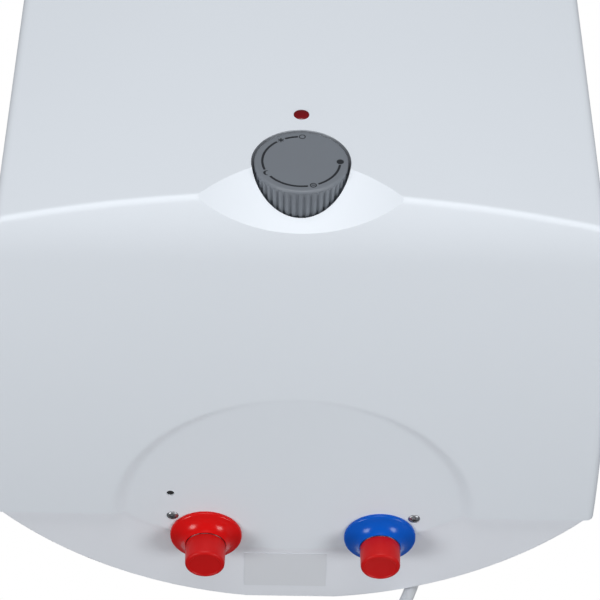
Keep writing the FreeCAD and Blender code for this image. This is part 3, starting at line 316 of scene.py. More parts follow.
def refine_pad_edge(bm):
    """Divide the faces near the pad's edge more finely."""
    middle_away = 4 * mm
    half_band = 12 * mm
    flattest = 0.5
    bm.normal_update()
    near = []
    for face in bm.faces:
        middle = face.calc_center_median()
        away = math.hypot(middle.x, middle.y - parting_y) - pad_radius
        in_band = abs(away - middle_away) < half_band
        if middle.z < crease_z and in_band and abs(face.normal.z) > flattest:
            near.append(face)
    edges = list({edge for face in near for edge in face.edges})
    bmesh.ops.subdivide_edges(bm, edges=edges, cuts=pad_edge_cuts, use_grid_fill=True)


def casing_block(place, shape, seam_y, cuts, fine_edge=False):
    """A finely divided cube that is drawn out to one half of the casing, cut off at the seam."""
    bm = bmesh.new()
    bmesh.ops.create_cube(bm, size=2)
    bmesh.ops.subdivide_edges(bm, edges=bm.edges[:], cuts=cuts, use_grid_fill=True)
    share = gathered((all_points(bm) + 1) / 2)
    if place is front_place:
        at_seam = share[:, 1] > 1 - same_place
    else:
        at_seam = share[:, 1] < same_place
    points = place(share)
    if fine_edge:
        place_points(bm, points)
        refine_pad_edge(bm)
        points = all_points(bm)
        at_seam = np.abs(points[:, 1] - seam_y) < same_place
    points = settled(points, shape)
    points[at_seam, 1] = seam_y
    on_pad = np.abs(points[:, 2] - pad_z) < 2 * same_place
    points[on_pad, 2] = pad_z
    place_points(bm, points)
    outward_normals(bm)
    return bm


def link_object(made):
    bpy.context.scene.collection.objects.link(made)
    return made


def piece_from(bm, name):
    mesh = bpy.data.meshes.new(name)
    bm.to_mesh(mesh)
    bm.free()
    return link_object(bpy.data.objects.new(name, mesh))


def smooth(piece, angle=32):
    """Smooth shading, with edges sharper than the angle kept sharp."""
    for face in piece.data.polygons:
        face.use_smooth = True
    piece.data.set_sharp_from_angle(angle=math.radians(angle))
    return piece


def carve(piece, steps):
    """Join or cut the piece with other solids, and take these away again."""
    for operation, tool in steps:
        change = piece.modifiers.new(tool.name, "BOOLEAN")
        change.operation = operation
        change.object = tool
        change.solver = "MANIFOLD"
    bpy.context.view_layer.update()
    finished = piece.evaluated_get(bpy.context.evaluated_depsgraph_get())
    mesh = bpy.data.meshes.new_from_object(finished)
    piece.modifiers.clear()
    piece.data = mesh
    for _, tool in steps:
        bpy.data.objects.remove(tool)
    return piece


def refill_seam(piece, seam_y, facing):
    """Fill the flat face at the seam anew, so that no part of it is folded over."""
    bm = bmesh.new()
    bm.from_mesh(piece.data)
    flat = [face for face in bm.faces if all(abs(vert.co.y - seam_y) < same_place for vert in face.verts)]
    bmesh.ops.delete(bm, geom=flat, context="FACES")
    rim = [edge for edge in bm.edges if edge.is_boundary]
    filled = bmesh.ops.triangle_fill(bm, use_beauty=False, edges=rim, normal=(0, facing, 0))
    bm.normal_update()
    for part in filled["geom"]:
        if isinstance(part, bmesh.types.BMFace) and part.normal.y * facing < 0:
            part.normal_flip()
    bm.to_mesh(piece.data)
    bm.free()
    return piece


def rod(radius, length, place, segments=96):
    """A round solid from its place's origin along its z."""
    bm = bmesh.new()
    bmesh.ops.create_cone(
        bm, cap_ends=True, segments=segments, radius1=radius, radius2=radius, depth=length,
        matrix=along_own(place, length / 2),
    )
    return bm


def brick(low, high):
    """A box between two corners in millimetres."""
    bm = bmesh.new()
    low, high = Vector(low) * mm, Vector(high) * mm
    size = Matrix.Diagonal((high - low).to_4d())
    size[3][3] = 1
    bmesh.ops.create_cube(bm, size=1, matrix=Matrix.Translation((low + high) / 2) @ size)
    return bm


def mirrored_bricks(low, high):
    """A brick on the right and its mirror image on the left, in millimetres."""
    return [brick(low, high), brick((-high[0], low[1], low[2]), (-low[0], high[1], high[2]))]


def tool_from(name, parts):
    """One cutter made of several solids that don't touch."""
    whole = bmesh.new()
    for part in parts:
        mesh = bpy.data.meshes.new("part")
        part.to_mesh(mesh)
        part.free()
        whole.from_mesh(mesh)
        bpy.data.meshes.remove(mesh)
    return piece_from(whole, name)


# The two covers. Their cutters are longer than what they cut through, by any amount.

through_wall = 30 * mm
through_floor = 40 * mm
into_the_open = 60 * mm
past_seam = 5 * mm
scoop_length = 200 * mm


def tongue_plate(grow, low, height, start_y):
    """The rounded plate that reaches from the pad behind the parting plane."""
    bm = rod(tongue_radius + grow, height, moved(0, tongue_y, low), segments=480)
    everything = bm.verts[:] + bm.edges[:] + bm.faces[:]
    cut = bmesh.ops.bisect_plane(
        bm, geom=everything, plane_co=(0, start_y, 0), plane_no=(0, -1, 0), clear_outer=True
    )
    rim = [part for part in cut["geom_cut"] if isinstance(part, bmesh.types.BMEdge)]
    bmesh.ops.edgeloop_fill(bm, edges=rim)
    outward_normals(bm)
    return bm


def scoop_place():
    """Where the round cutter of the hollow under the knob starts, with its z along its axis."""
    top = front_point(scoop_top_z)
    foot = Vector((0, scoop_foot_y, float(underside(np.array(scoop_foot_y)))))
    along = (top - foot).normalized()
    out = Vector((0, -along.z, along.y))
    middle = (top + foot) / 2 + out * scoop_radius
    turn = along.to_track_quat("Z", "X").to_matrix()
    return Matrix.Translation(middle - along * scoop_length / 2) @ turn.to_4x4()


def centred_hole(radius, length, place, segments=96):
    """A round cutter that reaches as far to one side of its place as to the other."""
    return rod(radius, length, along_own(place, -length / 2), segments)


def pipe_holes():
    return [
        centred_hole(pipe_hole_radius, through_floor, moved(side * pipe_x, pipe_y, pad_z))
        for side in pipe_sides
    ]


def screw_hole(side):
    """From below the pad up to the seat of the screw's head."""
    below = 10 * mm
    place = moved(side * screw_x, screw_y, pad_z - below)
    return rod(screw_hole_radius, below + screw_seat, place, segments=64)


def front_hollow():
    """What the front cover is hollowed out with: its own shape, one wall further in."""
    block = casing_block(front_place, within(front_cover_shape), parting_y + past_seam, hollow_cuts)
    scoop_back = rod(scoop_radius + wall, scoop_length, scoop_place(), segments=180)
    return carve(piece_from(block, "front_hollow"), [("DIFFERENCE", piece_from(scoop_back, "scoop_back"))])


def make_front_cover():
    # The tongue keeps clear of the pad's faces by this step, so that the two join cleanly.
    tongue_step = 0.02 * mm
    tongue_root = 0.5 * mm
    nose_hole_depth = 45 * mm
    lamp_play = 0.1 * mm
    block = casing_block(front_place, front_cover_shape, parting_y, skin_cuts, fine_edge=True)
    block = piece_from(block, "front_cover_skin")
    tongue = tongue_plate(0, pad_z + tongue_step, wall - 2 * tongue_step, parting_y - tongue_root)
    scoop = rod(scoop_radius, scoop_length, scoop_place(), segments=720)
    pocket_floor = along_own(knob_place, -knob_pocket_depth)
    cup = rod(knob_pocket_radius + wall, knob_pocket_depth, along_own(pocket_floor, -wall))
    pocket = rod(knob_pocket_radius, into_the_open, pocket_floor, segments=192)
    nose_hole_end = along_own(knob_place, -nose_hole_depth)
    nose_hole = rod(thermostat_nose_radius, through_wall, nose_hole_end, segments=48)
    lamp_hole = centred_hole(lamp_radius + lamp_play, through_wall, lamp_place, segments=64)
    reset_place = moved(reset_x, reset_y, pad_z)
    reset_hole = centred_hole(reset_hole_radius, through_wall, reset_place, segments=48)
    screw_holes = [screw_hole(side) for side in pipe_sides]
    holes = [pocket, lamp_hole] + pipe_holes() + screw_holes + [reset_hole]
    carve(block, [
        ("DIFFERENCE", front_hollow()),
        ("UNION", piece_from(tongue, "tongue")),
        ("UNION", piece_from(cup, "cup")),
        ("DIFFERENCE", piece_from(scoop, "scoop")),
        ("DIFFERENCE", tool_from("holes", holes)),
        ("DIFFERENCE", piece_from(nose_hole, "nose_hole")),
    ])
    return smooth(refill_seam(block, parting_y, 1))


# The gland of the mains lead, in a round pocket of the rear cover

gland_end = Vector((79, -12.5, -362)) * mm
gland_axis = Vector((-0.30, 0.40, -0.866)).normalized()
gland_length = 24 * mm
gland_turn = gland_axis.to_track_quat("Z", "X").to_matrix().to_4x4()
gland_place = Matrix.Translation(gland_end - gland_axis * gland_length) @ gland_turn
gland_pocket_radius = 9 * mm
gland_neck_radius = 4.2 * mm


def gland_wall():
    """The pocket's wall, as far as it lies inside the rear cover."""
    cup = rod(gland_pocket_radius + wall, through_wall, along_own(gland_place, -wall))
    keep_inside = casing_block(rear_place, rear_cover_shape, rear_parting_y, hollow_cuts)
    return carve(piece_from(cup, "cup_wall"), [("INTERSECT", piece_from(keep_inside, "keep_inside"))])


def hanger_platform():
    """The hollow box behind the hanger plate."""
    outside = brick((-104, -30, -42), (104, -2.8, 42))
    inside = brick((-101, -60, -39), (101, -5.8, 39))
    return carve(piece_from(outside, "platform"), [("DIFFERENCE", piece_from(inside, "platform_inside"))])


def hanger_stud_holes():
    stud_x, start_y = 22 * mm, -20 * mm
    radius, length = 4.6 * mm, 12 * mm
    facing_wall = Matrix.Rotation(math.radians(-90), 4, "X")
    return [
        rod(radius, length, moved(side * stud_x, start_y, 0) @ facing_wall, segments=48)
        for side in (-1, 1)
    ]


def make_rear_cover():
    seat_step = 0.1 * mm
    neck_length = 20 * mm
    seat_z = pad_z + wall + gap
    below_floor = rear_floor_z - mm
    block = casing_block(rear_place, rear_cover_shape, rear_parting_y, skin_cuts)
    block = piece_from(block, "rear_cover_skin")
    hollow = casing_block(rear_place, within(rear_cover_shape), rear_parting_y - past_seam, hollow_cuts)
    tubs = [brick((-50, -14.3, -34.5), (50, -4, 34.5))] + mirrored_bricks((52, -21.8, -27), (98, -4, 27))
    hollows = [brick((-47, -11.3, -31.5), (47, 5, 31.5))] + mirrored_bricks((55, -18.8, -24), (95, 5, 24))
    seat = tongue_plate(gap + wall, seat_z, wall, rear_parting_y + seat_step)
    under_tongue = tongue_plate(gap, below_floor, seat_z - below_floor, rear_parting_y - past_seam)
    pocket = rod(gland_pocket_radius, into_the_open, gland_place)
    neck = centred_hole(gland_neck_radius, neck_length, gland_place)
    carve(block, [
        ("DIFFERENCE", piece_from(hollow, "rear_hollow")),
        ("UNION", hanger_platform()),
        ("UNION", tool_from("tubs", tubs)),
        ("UNION", piece_from(seat, "seat")),
        ("UNION", gland_wall()),
        ("DIFFERENCE", piece_from(under_tongue, "under_tongue")),
        ("DIFFERENCE", tool_from("back_hollows", hollows + [pocket])),
        ("DIFFERENCE", tool_from("holes", pipe_holes() + hanger_stud_holes() + [neck])),
    ])
    return smooth(block)


# Turned pieces. Their profiles are points (radius, height) in millimetres.

def turned(name, profile, place, steps=96, closed=False):
    """A piece turned about its place's z."""
    bm = bmesh.new()
    verts = [bm.verts.new((radius * mm, 0, height * mm)) for radius, height in profile]
    following = verts[1:] + verts[:1] if closed else verts[1:]
    edges = [bm.edges.new(pair) for pair in zip(verts, following)]
    bmesh.ops.spin(
        bm, geom=verts + edges, cent=(0, 0, 0), axis=(0, 0, 1),
        angle=2 * math.pi, steps=steps, use_merge=True,
    )
    join_points(bm)
    outward_normals(bm)
    bmesh.ops.transform(bm, matrix=place, verts=bm.verts[:])
    return smooth(piece_from(bm, name))


def join_points(bm):
    bmesh.ops.remove_doubles(bm, verts=bm.verts[:], dist=same_place / 10)


def bend(start, corner, end, count=8):
    """Points of the smooth turn from start to end that leans towards the corner."""
    turn = []
    for k in range(count + 1):
        t = k / count
        before, between, after = (1 - t) ** 2, 2 * t * (1 - t), t * t
        radius = before * start[0] + between * corner[0] + after * end[0]
        height = before * start[1] + between * corner[1] + after * end[1]
        turn.append((radius, height))
    return turn


def make_rosette(name, side):
    """A flared collar, hollow towards the casing, with a narrow neck round the pipe."""
    profile = [(20.6, 0)] + bend((20.6, -1.1), (20.45, -2.1), (19.2, -2.4), 5)
    profile += bend((19.2, -2.4), (14.4, -3.7), (12.1, -8.1), 16)[1:]
    profile += [(11.9, -8.4), (11.6, -8.4), (11.6, -6.4), (15.0, -1.8), (19.0, -1.0), (19.3, 0)]
    return turned(name, profile, moved(side * pipe_x, pipe_y, pad_z), steps=128, closed=True)


def make_cap(name, side):
    """A plain transport cap over the pipe's end, with a shallow dish in its floor."""
    low, high = -22.7, -8.8
    outside, inside, floor = 11.5, 10.5, 1.9
    profile = bend((0, low + 0.5), (5.4, low + 0.5), (9.0, low + 0.3), 4)
    profile += bend((9.3, low), (11.2, low), (11.3, low + 1.7), 6)
    profile += [(11.42, low + 7), (outside, high - 0.3)]
    profile += [(11.4, high), (inside, high), (inside, low + floor), (0, low + floor)]
    return turned(name, profile, moved(side * pipe_x, pipe_y, pad_z))


def make_lens():
    """A low domed lens with its shank."""
    radius, rise, shank = lamp_radius / mm, 0.8, 14
    profile = [(0, rise)] + bend((0.3, rise), (2.6, 0.75), (radius, 0), 6) + [(radius, -shank), (0, -shank)]
    return turned("lamp_lens", profile, lamp_place, steps=64)


# The knob, in its own place with its face at z = 0

knob_low = -20.0
knob_ribs = 42
rib_top = -1.8 * mm


def groove_depth(point):
    """How far the skirt goes in at a point: deepest between two ribs, fading out under the rim."""
    deepest = 1.3 * mm
    half_width_of_groove = 0.36
    fading = 1.0 * mm
    turn = math.atan2(point.y, point.x) / (2 * math.pi) * knob_ribs
    off_groove = min(1.0, abs(turn - round(turn)) / half_width_of_groove)
    groove = 1 - off_groove**2 * (3 - 2 * off_groove)
    return deepest * groove * min(1.0, (rib_top - point.z) / fading)


def make_knob():
    """A cup with fine ribs below a plain rim, and a flat face."""
    outside = knob_radius / mm
    skirt_from = 23.9 * mm
    steps_per_rib = 12
    skirt_steps = 6
    skirt_step = (rib_top / mm - 0.1 - knob_low) / skirt_steps
    inside = [(21.4, knob_low), (21.4, -2.4), (6.5, -2.4), (6.5, knob_low)]
    inside += [(3.1, knob_low), (3.1, -4.0), (0, -4.0)]
    skirt = [(outside, knob_low + k * skirt_step) for k in range(1, skirt_steps + 1)]
    rim = [(24.35, -1.75)] + bend((outside, -1.6), (outside, -0.05), (23.2, -0.05), 6)
    face = [(22.6, -0.05), (18, -0.06), (10, -0.07), (0, -0.07)]
    profile = inside[::-1] + [(24.0, knob_low)] + skirt + rim + face
    knob = turned("knob_cup", profile, Matrix.Identity(4), steps=knob_ribs * steps_per_rib)
    bm = bmesh.new()
    bm.from_mesh(knob.data)
    for vert in bm.verts:
        radius = math.hypot(vert.co.x, vert.co.y)
        if radius > skirt_from and vert.co.z < rib_top:
            shrink = 1 - groove_depth(vert.co) / radius
            vert.co.x *= shrink
            vert.co.y *= shrink
    bmesh.ops.transform(bm, matrix=knob_place, verts=bm.verts[:])
    bm.to_mesh(knob.data)
    bm.free()
    return smooth(knob, angle=40)


# Marks printed on the knob's face. Angles are in degrees, from the knob's own x.

mark_radius = 20.1 * mm
mark_line = 0.6 * mm
mark_height = 0.05 * mm
line_arcs = ((95, 115), (129, 201), (218, 280), (296, 353))
off_angle = 88.6
frost_angle = 122
saving_angle = 209
normal_angle = 288
full_angle = 360
degrees_per_step = 3


def polar(radius, angle):
    turn = math.radians(angle)
    return radius * math.cos(turn), radius * math.sin(turn)


def band(bm, inner, outer, start, end, centre=(0.0, 0.0)):
    """A thin flat band of part of a ring, or of all of it."""
    verts = []
    for radius in (inner, outer):
        x, y = polar(radius, start)
        verts.append(bm.verts.new((centre[0] + x, centre[1] + y, 0)))
    edge = bm.edges.new(verts)
    span = end - start
    bmesh.ops.spin(
        bm, geom=verts + [edge], cent=(*centre, 0), axis=(0, 0, 1), angle=math.radians(span),
        steps=max(6, int(span / degrees_per_step)), use_merge=span == 360,
    )


def bar(bm, middle, half, width):
    """A straight line through its middle, reaching half to either side."""
    middle, half = Vector((*middle, 0)), Vector((*half, 0))
    side = half.normalized().cross(Vector((0, 0, 1))) * width / 2
    corners = (middle - half + side, middle + half + side, middle + half - side, middle - half - side)
    bm.faces.new([bm.verts.new(corner) for corner in corners])


def off_mark(bm, centre):
    band(bm, 1.3 * mm, 1.8 * mm, 0, 360, centre)


def frost_mark(bm, centre):
    """A star of three lines."""
    for angle in (30, 90, 150):
        bar(bm, centre, polar(1.7 * mm, angle), 0.55 * mm)


def saving_mark(bm, centre):
    """A crescent, of bands that get shorter inwards."""
    for inner, outer, half in ((1.5, 1.9, 105), (1.2, 1.5, 80), (0.9, 1.2, 55), (0.7, 0.9, 30)):
        band(bm, inner * mm, outer * mm, 180 - half, 180 + half, centre)


def normal_mark(bm, centre):
    """A ring round two short lines."""
    band(bm, 1.25 * mm, 1.8 * mm, 0, 360, centre)
    for rise in (-0.35 * mm, 0.35 * mm):
        bar(bm, (centre[0], centre[1] + rise), (0.9 * mm, 0), 0.3 * mm)


def full_mark(bm, centre):
    spot = bmesh.ops.create_circle(bm, cap_ends=True, segments=32, radius=1.9 * mm)
    bmesh.ops.translate(bm, vec=(*centre, 0), verts=spot["verts"])


def make_marks():
    """Off, frost guard, saving, normal and full heat, joined by a line."""
    bm = bmesh.new()
    for start, end in line_arcs:
        band(bm, mark_radius - mark_line, mark_radius + mark_line, start, end)
    off_mark(bm, polar(mark_radius, off_angle))
    frost_mark(bm, polar(mark_radius, frost_angle))
    saving_mark(bm, polar(mark_radius, saving_angle))
    normal_mark(bm, polar(mark_radius, normal_angle))
    full_mark(bm, polar(mark_radius, full_angle))
    join_points(bm)
    outward_normals(bm)
    bmesh.ops.solidify(bm, geom=bm.faces[:], thickness=mark_height)
    outward_normals(bm)
    lift = -max(vert.co.z for vert in bm.verts)
    bmesh.ops.transform(bm, matrix=along_own(knob_place, lift), verts=bm.verts[:])
    return piece_from(bm, "knob_marks")


# Screws of the front cover

def make_screw(name, side):
    """A low domed head with a cross recess."""
    recess_turn = 20
    head = [(0, -2.15)] + bend((0.4, -2.15), (3.1, -2.1), (3.35, -0.9), 7) + [(3.4, -0.2), (3.35, 0), (0, 0)]
    place = moved(side * screw_x, screw_y, pad_z + screw_seat)
    screw = turned(name, head, place, steps=64)
    arms = []
    for turn in (recess_turn, recess_turn + 90):
        arm = brick((-1.9, -0.38, -3.2), (1.9, 0.38, -1.1))
        spin = Matrix.Rotation(math.radians(turn), 4, "Z")
        bmesh.ops.transform(arm, matrix=place @ spin, verts=arm.verts[:])
        arms.append(piece_from(arm, "arm"))
    carve(screw, [("DIFFERENCE", arm) for arm in arms])
    return smooth(screw)


# Mains lead, in millimetres: down from the gland, then a coil of two layers, then the plug

lead_route = [
    (79.0, -12.5, -362.0),
    (73.0, -4.5, -379.3),
    (64.6, -6.0, -403.0),
    (52.0, -8.0, -428.0),
    (39.0, -9.8, -453.0),
    (31.0, -10.5, -479.0),
    (31.0, -10.5, -501.0),
]
coil_drop = cord_diameter / mm
coil_pitch = 8.1
coil_turns = 5.0
coil_mid_radius = 41.0
coil_points_per_turn = 24
turns_of_bend = 0.5
tail_drops = (10.0, 26.0)


def coil_radius(turn):
    """Inwards in the first layer, a bend, outwards in the second."""
    half = coil_turns / 2
    half_bend = turns_of_bend / 2
    outer = coil_mid_radius + coil_pitch * (half - half_bend) / 2
    away = abs(turn - half)
    if away > half_bend:
        return outer - coil_pitch * (half - away)
    return outer - coil_pitch * (half - half_bend / 2 - away**2 / turns_of_bend)


def coil_point(turn, centre):
    """A point of the coil, which changes its layer smoothly within the bend."""
    share = (turn - coil_turns / 2) / turns_of_bend + 0.5
    share = min(max(share, 0.0), 1.0)
    layer = share * share * (3 - 2 * share)
    angle = 2 * math.pi * turn
    radius = coil_radius(turn)
    return (
        centre[0] - radius * math.cos(angle),
        centre[1] - coil_pitch * layer,
        centre[2] - radius * math.sin(angle),
    )


def lead_points():
    """The whole lead: the route to the coil, the coil's turns and the straight end in the plug."""
    first = -math.atan2(coil_pitch / (2 * math.pi), coil_radius(0)) / (2 * math.pi)
    angle = 2 * math.pi * first
    end = lead_route[-1]
    centre = (
        end[0] + coil_radius(first) * math.cos(angle),
        end[1],
        end[2] - coil_drop + coil_radius(first) * math.sin(angle),
    )
    count = int(coil_turns * coil_points_per_turn)
    turns = [first + (coil_turns - 2 * first) * k / count for k in range(count + 1)]
    coil = [coil_point(turn, centre) for turn in turns]
    last = coil[-1]
    tail = [(last[0], last[1], last[2] - drop) for drop in tail_drops]
    return lead_route + coil + tail


def make_lead():
    """The lead as a tube along its route, and the place of its end."""
    points = [Vector(p) * mm for p in lead_points()]
    curve = bpy.data.curves.new("mains_lead", "CURVE")
    curve.dimensions = "3D"
    spline = curve.splines.new("NURBS")
    spline.points.add(len(points) - 1)
    for place, point in zip(spline.points, points):
        place.co = (*point, 1)
    spline.order_u = 3
    spline.use_endpoint_u = True
    spline.resolution_u = 4
    curve.bevel_depth = cord_diameter / 2
    curve.bevel_resolution = 5
    curve.use_fill_caps = True
    return link_object(bpy.data.objects.new("mains_lead", curve)), points[-1]


def relief_profile():
    """Ribs of the bend relief, growing towards the plug."""
    ribs = 6
    profile = []
    for k in range(ribs):
        z = -2.0 - 3.6 * k
        r = 5.1 + 0.24 * k
        profile += [(r + 0.25, z), (r + 0.25, z - 1.6), (r - 0.55, z - 1.9), (r - 0.55, z - 3.2)]
    return profile


def make_plug(top):
    """A round two-pin plug with a ribbed relief, as on such a lead."""
    radius, length = 18.0, 64
    profile = [(0, 0.0), (5.0, 0.0)] + relief_profile()
    profile += bend((6.6, -24), (9.0, -24.5), (9.2, -28), 5)
    profile += bend((9.6, -31), (13.6, -43.2), (16.2, -44.2), 8)
    profile += bend((16.6, -44.3), (radius, -44.6), (radius, -46.5), 5)
    profile += bend((radius, 2 - length), (radius, -length), (radius - 2, -length), 5) + [(0, -length)]
    return turned("plug_moulding", profile, Matrix.Translation(top))


# Finishes

def srgb(red, green, blue):
    """A colour as the eye names it, for the renderer."""
    def linear(value):
        value = value / 255
        return value / 12.92 if value <= 0.04045 else ((value + 0.055) / 1.055) ** 2.4
    return (linear(red), linear(green), linear(blue), 1)


def darker(colour, share):
    return tuple(value * share for value in colour[:3]) + (1,)


def effect_group(name, *scales):
    """A node group with the sockets that all effects share, and scales of its own."""
    group = bpy.data.node_groups.new(name, "ShaderNodeTree")

    def sockets(direction, kind, *names):
        for socket in names:
            group.interface.new_socket(socket, in_out=direction, socket_type=kind)

    sockets("INPUT", "NodeSocketColor", "Colour", "Shade")
    sockets("INPUT", "NodeSocketFloat", *scales, "Least Roughness", "Most Roughness")
    sockets("OUTPUT", "NodeSocketColor", "Colour")
    sockets("OUTPUT", "NodeSocketFloat", "Roughness", "Height")
    return group


def mottled(group, start, end, pattern):
    """Colour and gloss go from one value to the other with the pattern."""
    add, link = group.nodes.new, group.links.new
    mix = add("ShaderNodeMix")
    mix.data_type = "RGBA"
    gloss = add("ShaderNodeMapRange")
    link(pattern.outputs["Fac"], mix.inputs["Factor"])
    link(start.outputs["Colour"], mix.inputs["A"])
    link(start.outputs["Shade"], mix.inputs["B"])
    link(pattern.outputs["Fac"], gloss.inputs["Value"])
    link(start.outputs["Least Roughness"], gloss.inputs["To Min"])
    link(start.outputs["Most Roughness"], gloss.inputs["To Max"])
    link(mix.outputs["Result"], end.inputs["Colour"])
    link(gloss.outputs["Result"], end.inputs["Roughness"])


def moulded_surface():
    """Faint clouds in colour and gloss, and a fine grain, as on moulded or painted surfaces."""
    group = effect_group("moulded_surface", "Cloud Scale", "Grain Scale")
    add, link = group.nodes.new, group.links.new
    start, end = add("NodeGroupInput"), add("NodeGroupOutput")
    place = add("ShaderNodeTexCoord")
    clouds, grain = add("ShaderNodeTexNoise"), add("ShaderNodeTexNoise")
    clouds.inputs["Detail"].default_value = 3
    grain.inputs["Detail"].default_value = 2
    link(place.outputs["Object"], clouds.inputs["Vector"])
    link(place.outputs["Object"], grain.inputs["Vector"])
    link(start.outputs["Cloud Scale"], clouds.inputs["Scale"])
    link(start.outputs["Grain Scale"], grain.inputs["Scale"])
    link(grain.outputs["Fac"], end.inputs["Height"])
    mottled(group, start, end, clouds)
    return group


def drawn_metal():
    """Fine drawing lines along one axis, with dull patches."""
    group = effect_group("drawn_metal")
    add, link = group.nodes.new, group.links.new
    start, end = add("NodeGroupInput"), add("NodeGroupOutput")
    place, stretch = add("ShaderNodeTexCoord"), add("ShaderNodeMapping")
    stretch.inputs["Scale"].default_value = (1, 1, 0.03)
    lines, patches = add("ShaderNodeTexNoise"), add("ShaderNodeTexNoise")
    lines.inputs["Scale"].default_value = 4000
    patches.inputs["Scale"].default_value = 90
    patches.inputs["Detail"].default_value = 4
    link(place.outputs["Object"], stretch.inputs["Vector"])
    link(stretch.outputs["Vector"], lines.inputs["Vector"])
    link(place.outputs["Object"], patches.inputs["Vector"])
    link(lines.outputs["Fac"], end.inputs["Height"])
    mottled(group, start, end, patches)
    return group


surface_group = moulded_surface()
metal_group = drawn_metal()


def finish(name, colour, effect, inputs, depth, strength, fixed):
    """A material on one effect group, with the values that are the same all over set on the shader."""
    material = bpy.data.materials.new(name)
    material.use_nodes = True
    tree = material.node_tree
    shader = tree.nodes["Principled BSDF"]
    group = tree.nodes.new("ShaderNodeGroup")
    group.node_tree = effect
    group.inputs["Colour"].default_value = colour
    for key, value in inputs.items():
        group.inputs[key].default_value = value
    bump = tree.nodes.new("ShaderNodeBump")
    bump.inputs["Distance"].default_value = depth
    bump.inputs["Strength"].default_value = strength
    tree.links.new(group.outputs["Colour"], shader.inputs["Base Color"])
    tree.links.new(group.outputs["Roughness"], shader.inputs["Roughness"])
    tree.links.new(group.outputs["Height"], bump.inputs["Height"])
    tree.links.new(bump.outputs["Normal"], shader.inputs["Normal"])
    for key, value in fixed.items():
        shader.inputs[key].default_value = value
    return material


def plastic(
    name, colour, low, high, shade=0.97, cloud=14.0, grain=2200.0, depth=0.02, strength=0.25, **fixed
):
    """Moulded plastic or paint with a roughness from low to high, and a grain depth in millimetres."""
    inputs = {
        "Shade": darker(colour, shade),
        "Cloud Scale": cloud,
        "Grain Scale": grain,
        "Least Roughness": low,
        "Most Roughness": high,
    }
    return finish(name, colour, surface_group, inputs, depth * mm, strength, fixed)


def metal(name, colour, low, high, shade=0.8):
    """Drawn or rolled metal with a roughness from low to high."""
    depth, strength = 0.01, 0.3
    inputs = {"Shade": darker(colour, shade), "Least Roughness": low, "Most Roughness": high}
    return finish(name, colour, metal_group, inputs, depth * mm, strength, {"Metallic": 1.0})


low_gloss = {"Specular IOR Level": 0.25}
soft_gloss = {"Specular IOR Level": 0.2}
bright = {"shade": 0.93, "cloud": 40, **low_gloss}
fine_grain = {"grain": 5200, "depth": 0.03, "strength": 0.35}
sheath_grain = {"grain": 3000, "depth": 0.03, "strength": 0.3}
lens_grain = {"grain": 3000, "depth": 0.005, "strength": 0.1}
foam_grain = {"grain": 500, "depth": 0.6, "strength": 0.7}
enamel_grain = {"grain": 600, "depth": 0.05, "strength": 0.3}

print_finish = plastic("print_black", srgb(34, 38, 44), 0.45, 0.6)
lead_finish = plastic("lead_white", srgb(222, 226, 230), 0.4, 0.55, shade=0.94, cloud=70, **sheath_grain)
finishes = {
    "casing_white": plastic("casing_white", srgb(230, 236, 243), 0.36, 0.46, shade=0.985, **soft_gloss),
    "rear_white": plastic("rear_white", srgb(234, 238, 245), 0.4, 0.5, shade=0.98, **soft_gloss),
    "knob_grey": plastic("knob_grey", srgb(120, 126, 134), 0.42, 0.55, shade=0.94, cloud=60, **fine_grain),
    "lamp_red": plastic(
        "lamp_red", srgb(128, 22, 28), 0.08, 0.14, shade=0.7, cloud=150, **lens_grain, **low_gloss
    ),
    "rosette_red": plastic("rosette_red", srgb(216, 14, 14), 0.16, 0.24, **bright),
    "rosette_blue": plastic("rosette_blue", srgb(4, 88, 196), 0.16, 0.24, **bright),
    "cap_red": plastic("cap_red", srgb(202, 12, 12), 0.34, 0.46, shade=0.9, cloud=50, **low_gloss),
    "cord_white": lead_finish,
    "plug_white": lead_finish,
    "black_plastic": plastic("black_plastic", srgb(38, 38, 40), 0.4, 0.6, shade=0.8, cloud=60),
    "clear_grey": plastic("light_plastic", srgb(200, 202, 204), 0.4, 0.55, shade=0.94, cloud=60),
    "foam": plastic("foam", srgb(233, 226, 200), 0.85, 0.95, shade=0.88, cloud=60, **foam_grain),
    "enamel_tank": plastic("tank_enamel", srgb(40, 60, 76), 0.15, 0.3, shade=0.85, cloud=30, **enamel_grain),
    "gasket_rubber": plastic("gasket_rubber", srgb(30, 30, 32), 0.6, 0.8, shade=0.8, cloud=90),
    "wire_brown": plastic("wire_brown", srgb(98, 58, 34), 0.4, 0.5),
    "wire_black": plastic("wire_black", srgb(28, 28, 30), 0.4, 0.5),
    "wire_blue": plastic("wire_blue", srgb(34, 88, 168), 0.4, 0.5),
    "wire_earth": plastic("wire_earth", srgb(136, 170, 44), 0.4, 0.5),
    "screw_steel": metal("screw_steel", srgb(176, 178, 182), 0.28, 0.45),
    "zinc_steel": metal("zinc_steel", srgb(196, 198, 202), 0.3, 0.5),
    "pipe_steel": metal("pipe_steel", srgb(186, 188, 192), 0.25, 0.4),
    "copper_tube": metal("copper_tube", srgb(196, 120, 86), 0.25, 0.45),
    "magnesium": metal("magnesium", srgb(180, 180, 182), 0.5, 0.7),
    "pin_nickel": metal("pin_nickel", srgb(216, 214, 208), 0.1, 0.2, shade=0.9),
    "plate_foil": plastic("plate_foil", srgb(226, 230, 236), 0.3, 0.4),
}

for subpart in frame["record"]["subparts"]:
    mesh = nodes[subpart["node"]].data
    mesh.materials.clear()
    mesh.materials.append(finishes[subpart["material_slot"]])


def fit(piece, slot, body, *stands_for, material=None):
    """Give a new piece its finish, its body and the nodes that it stands for."""
    piece.data.materials.clear()
    piece.data.materials.append(material or finishes[slot])
    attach(piece, body)
    if stands_for:
        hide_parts(*stands_for)
    return piece


# Camera, at the photograph's angle

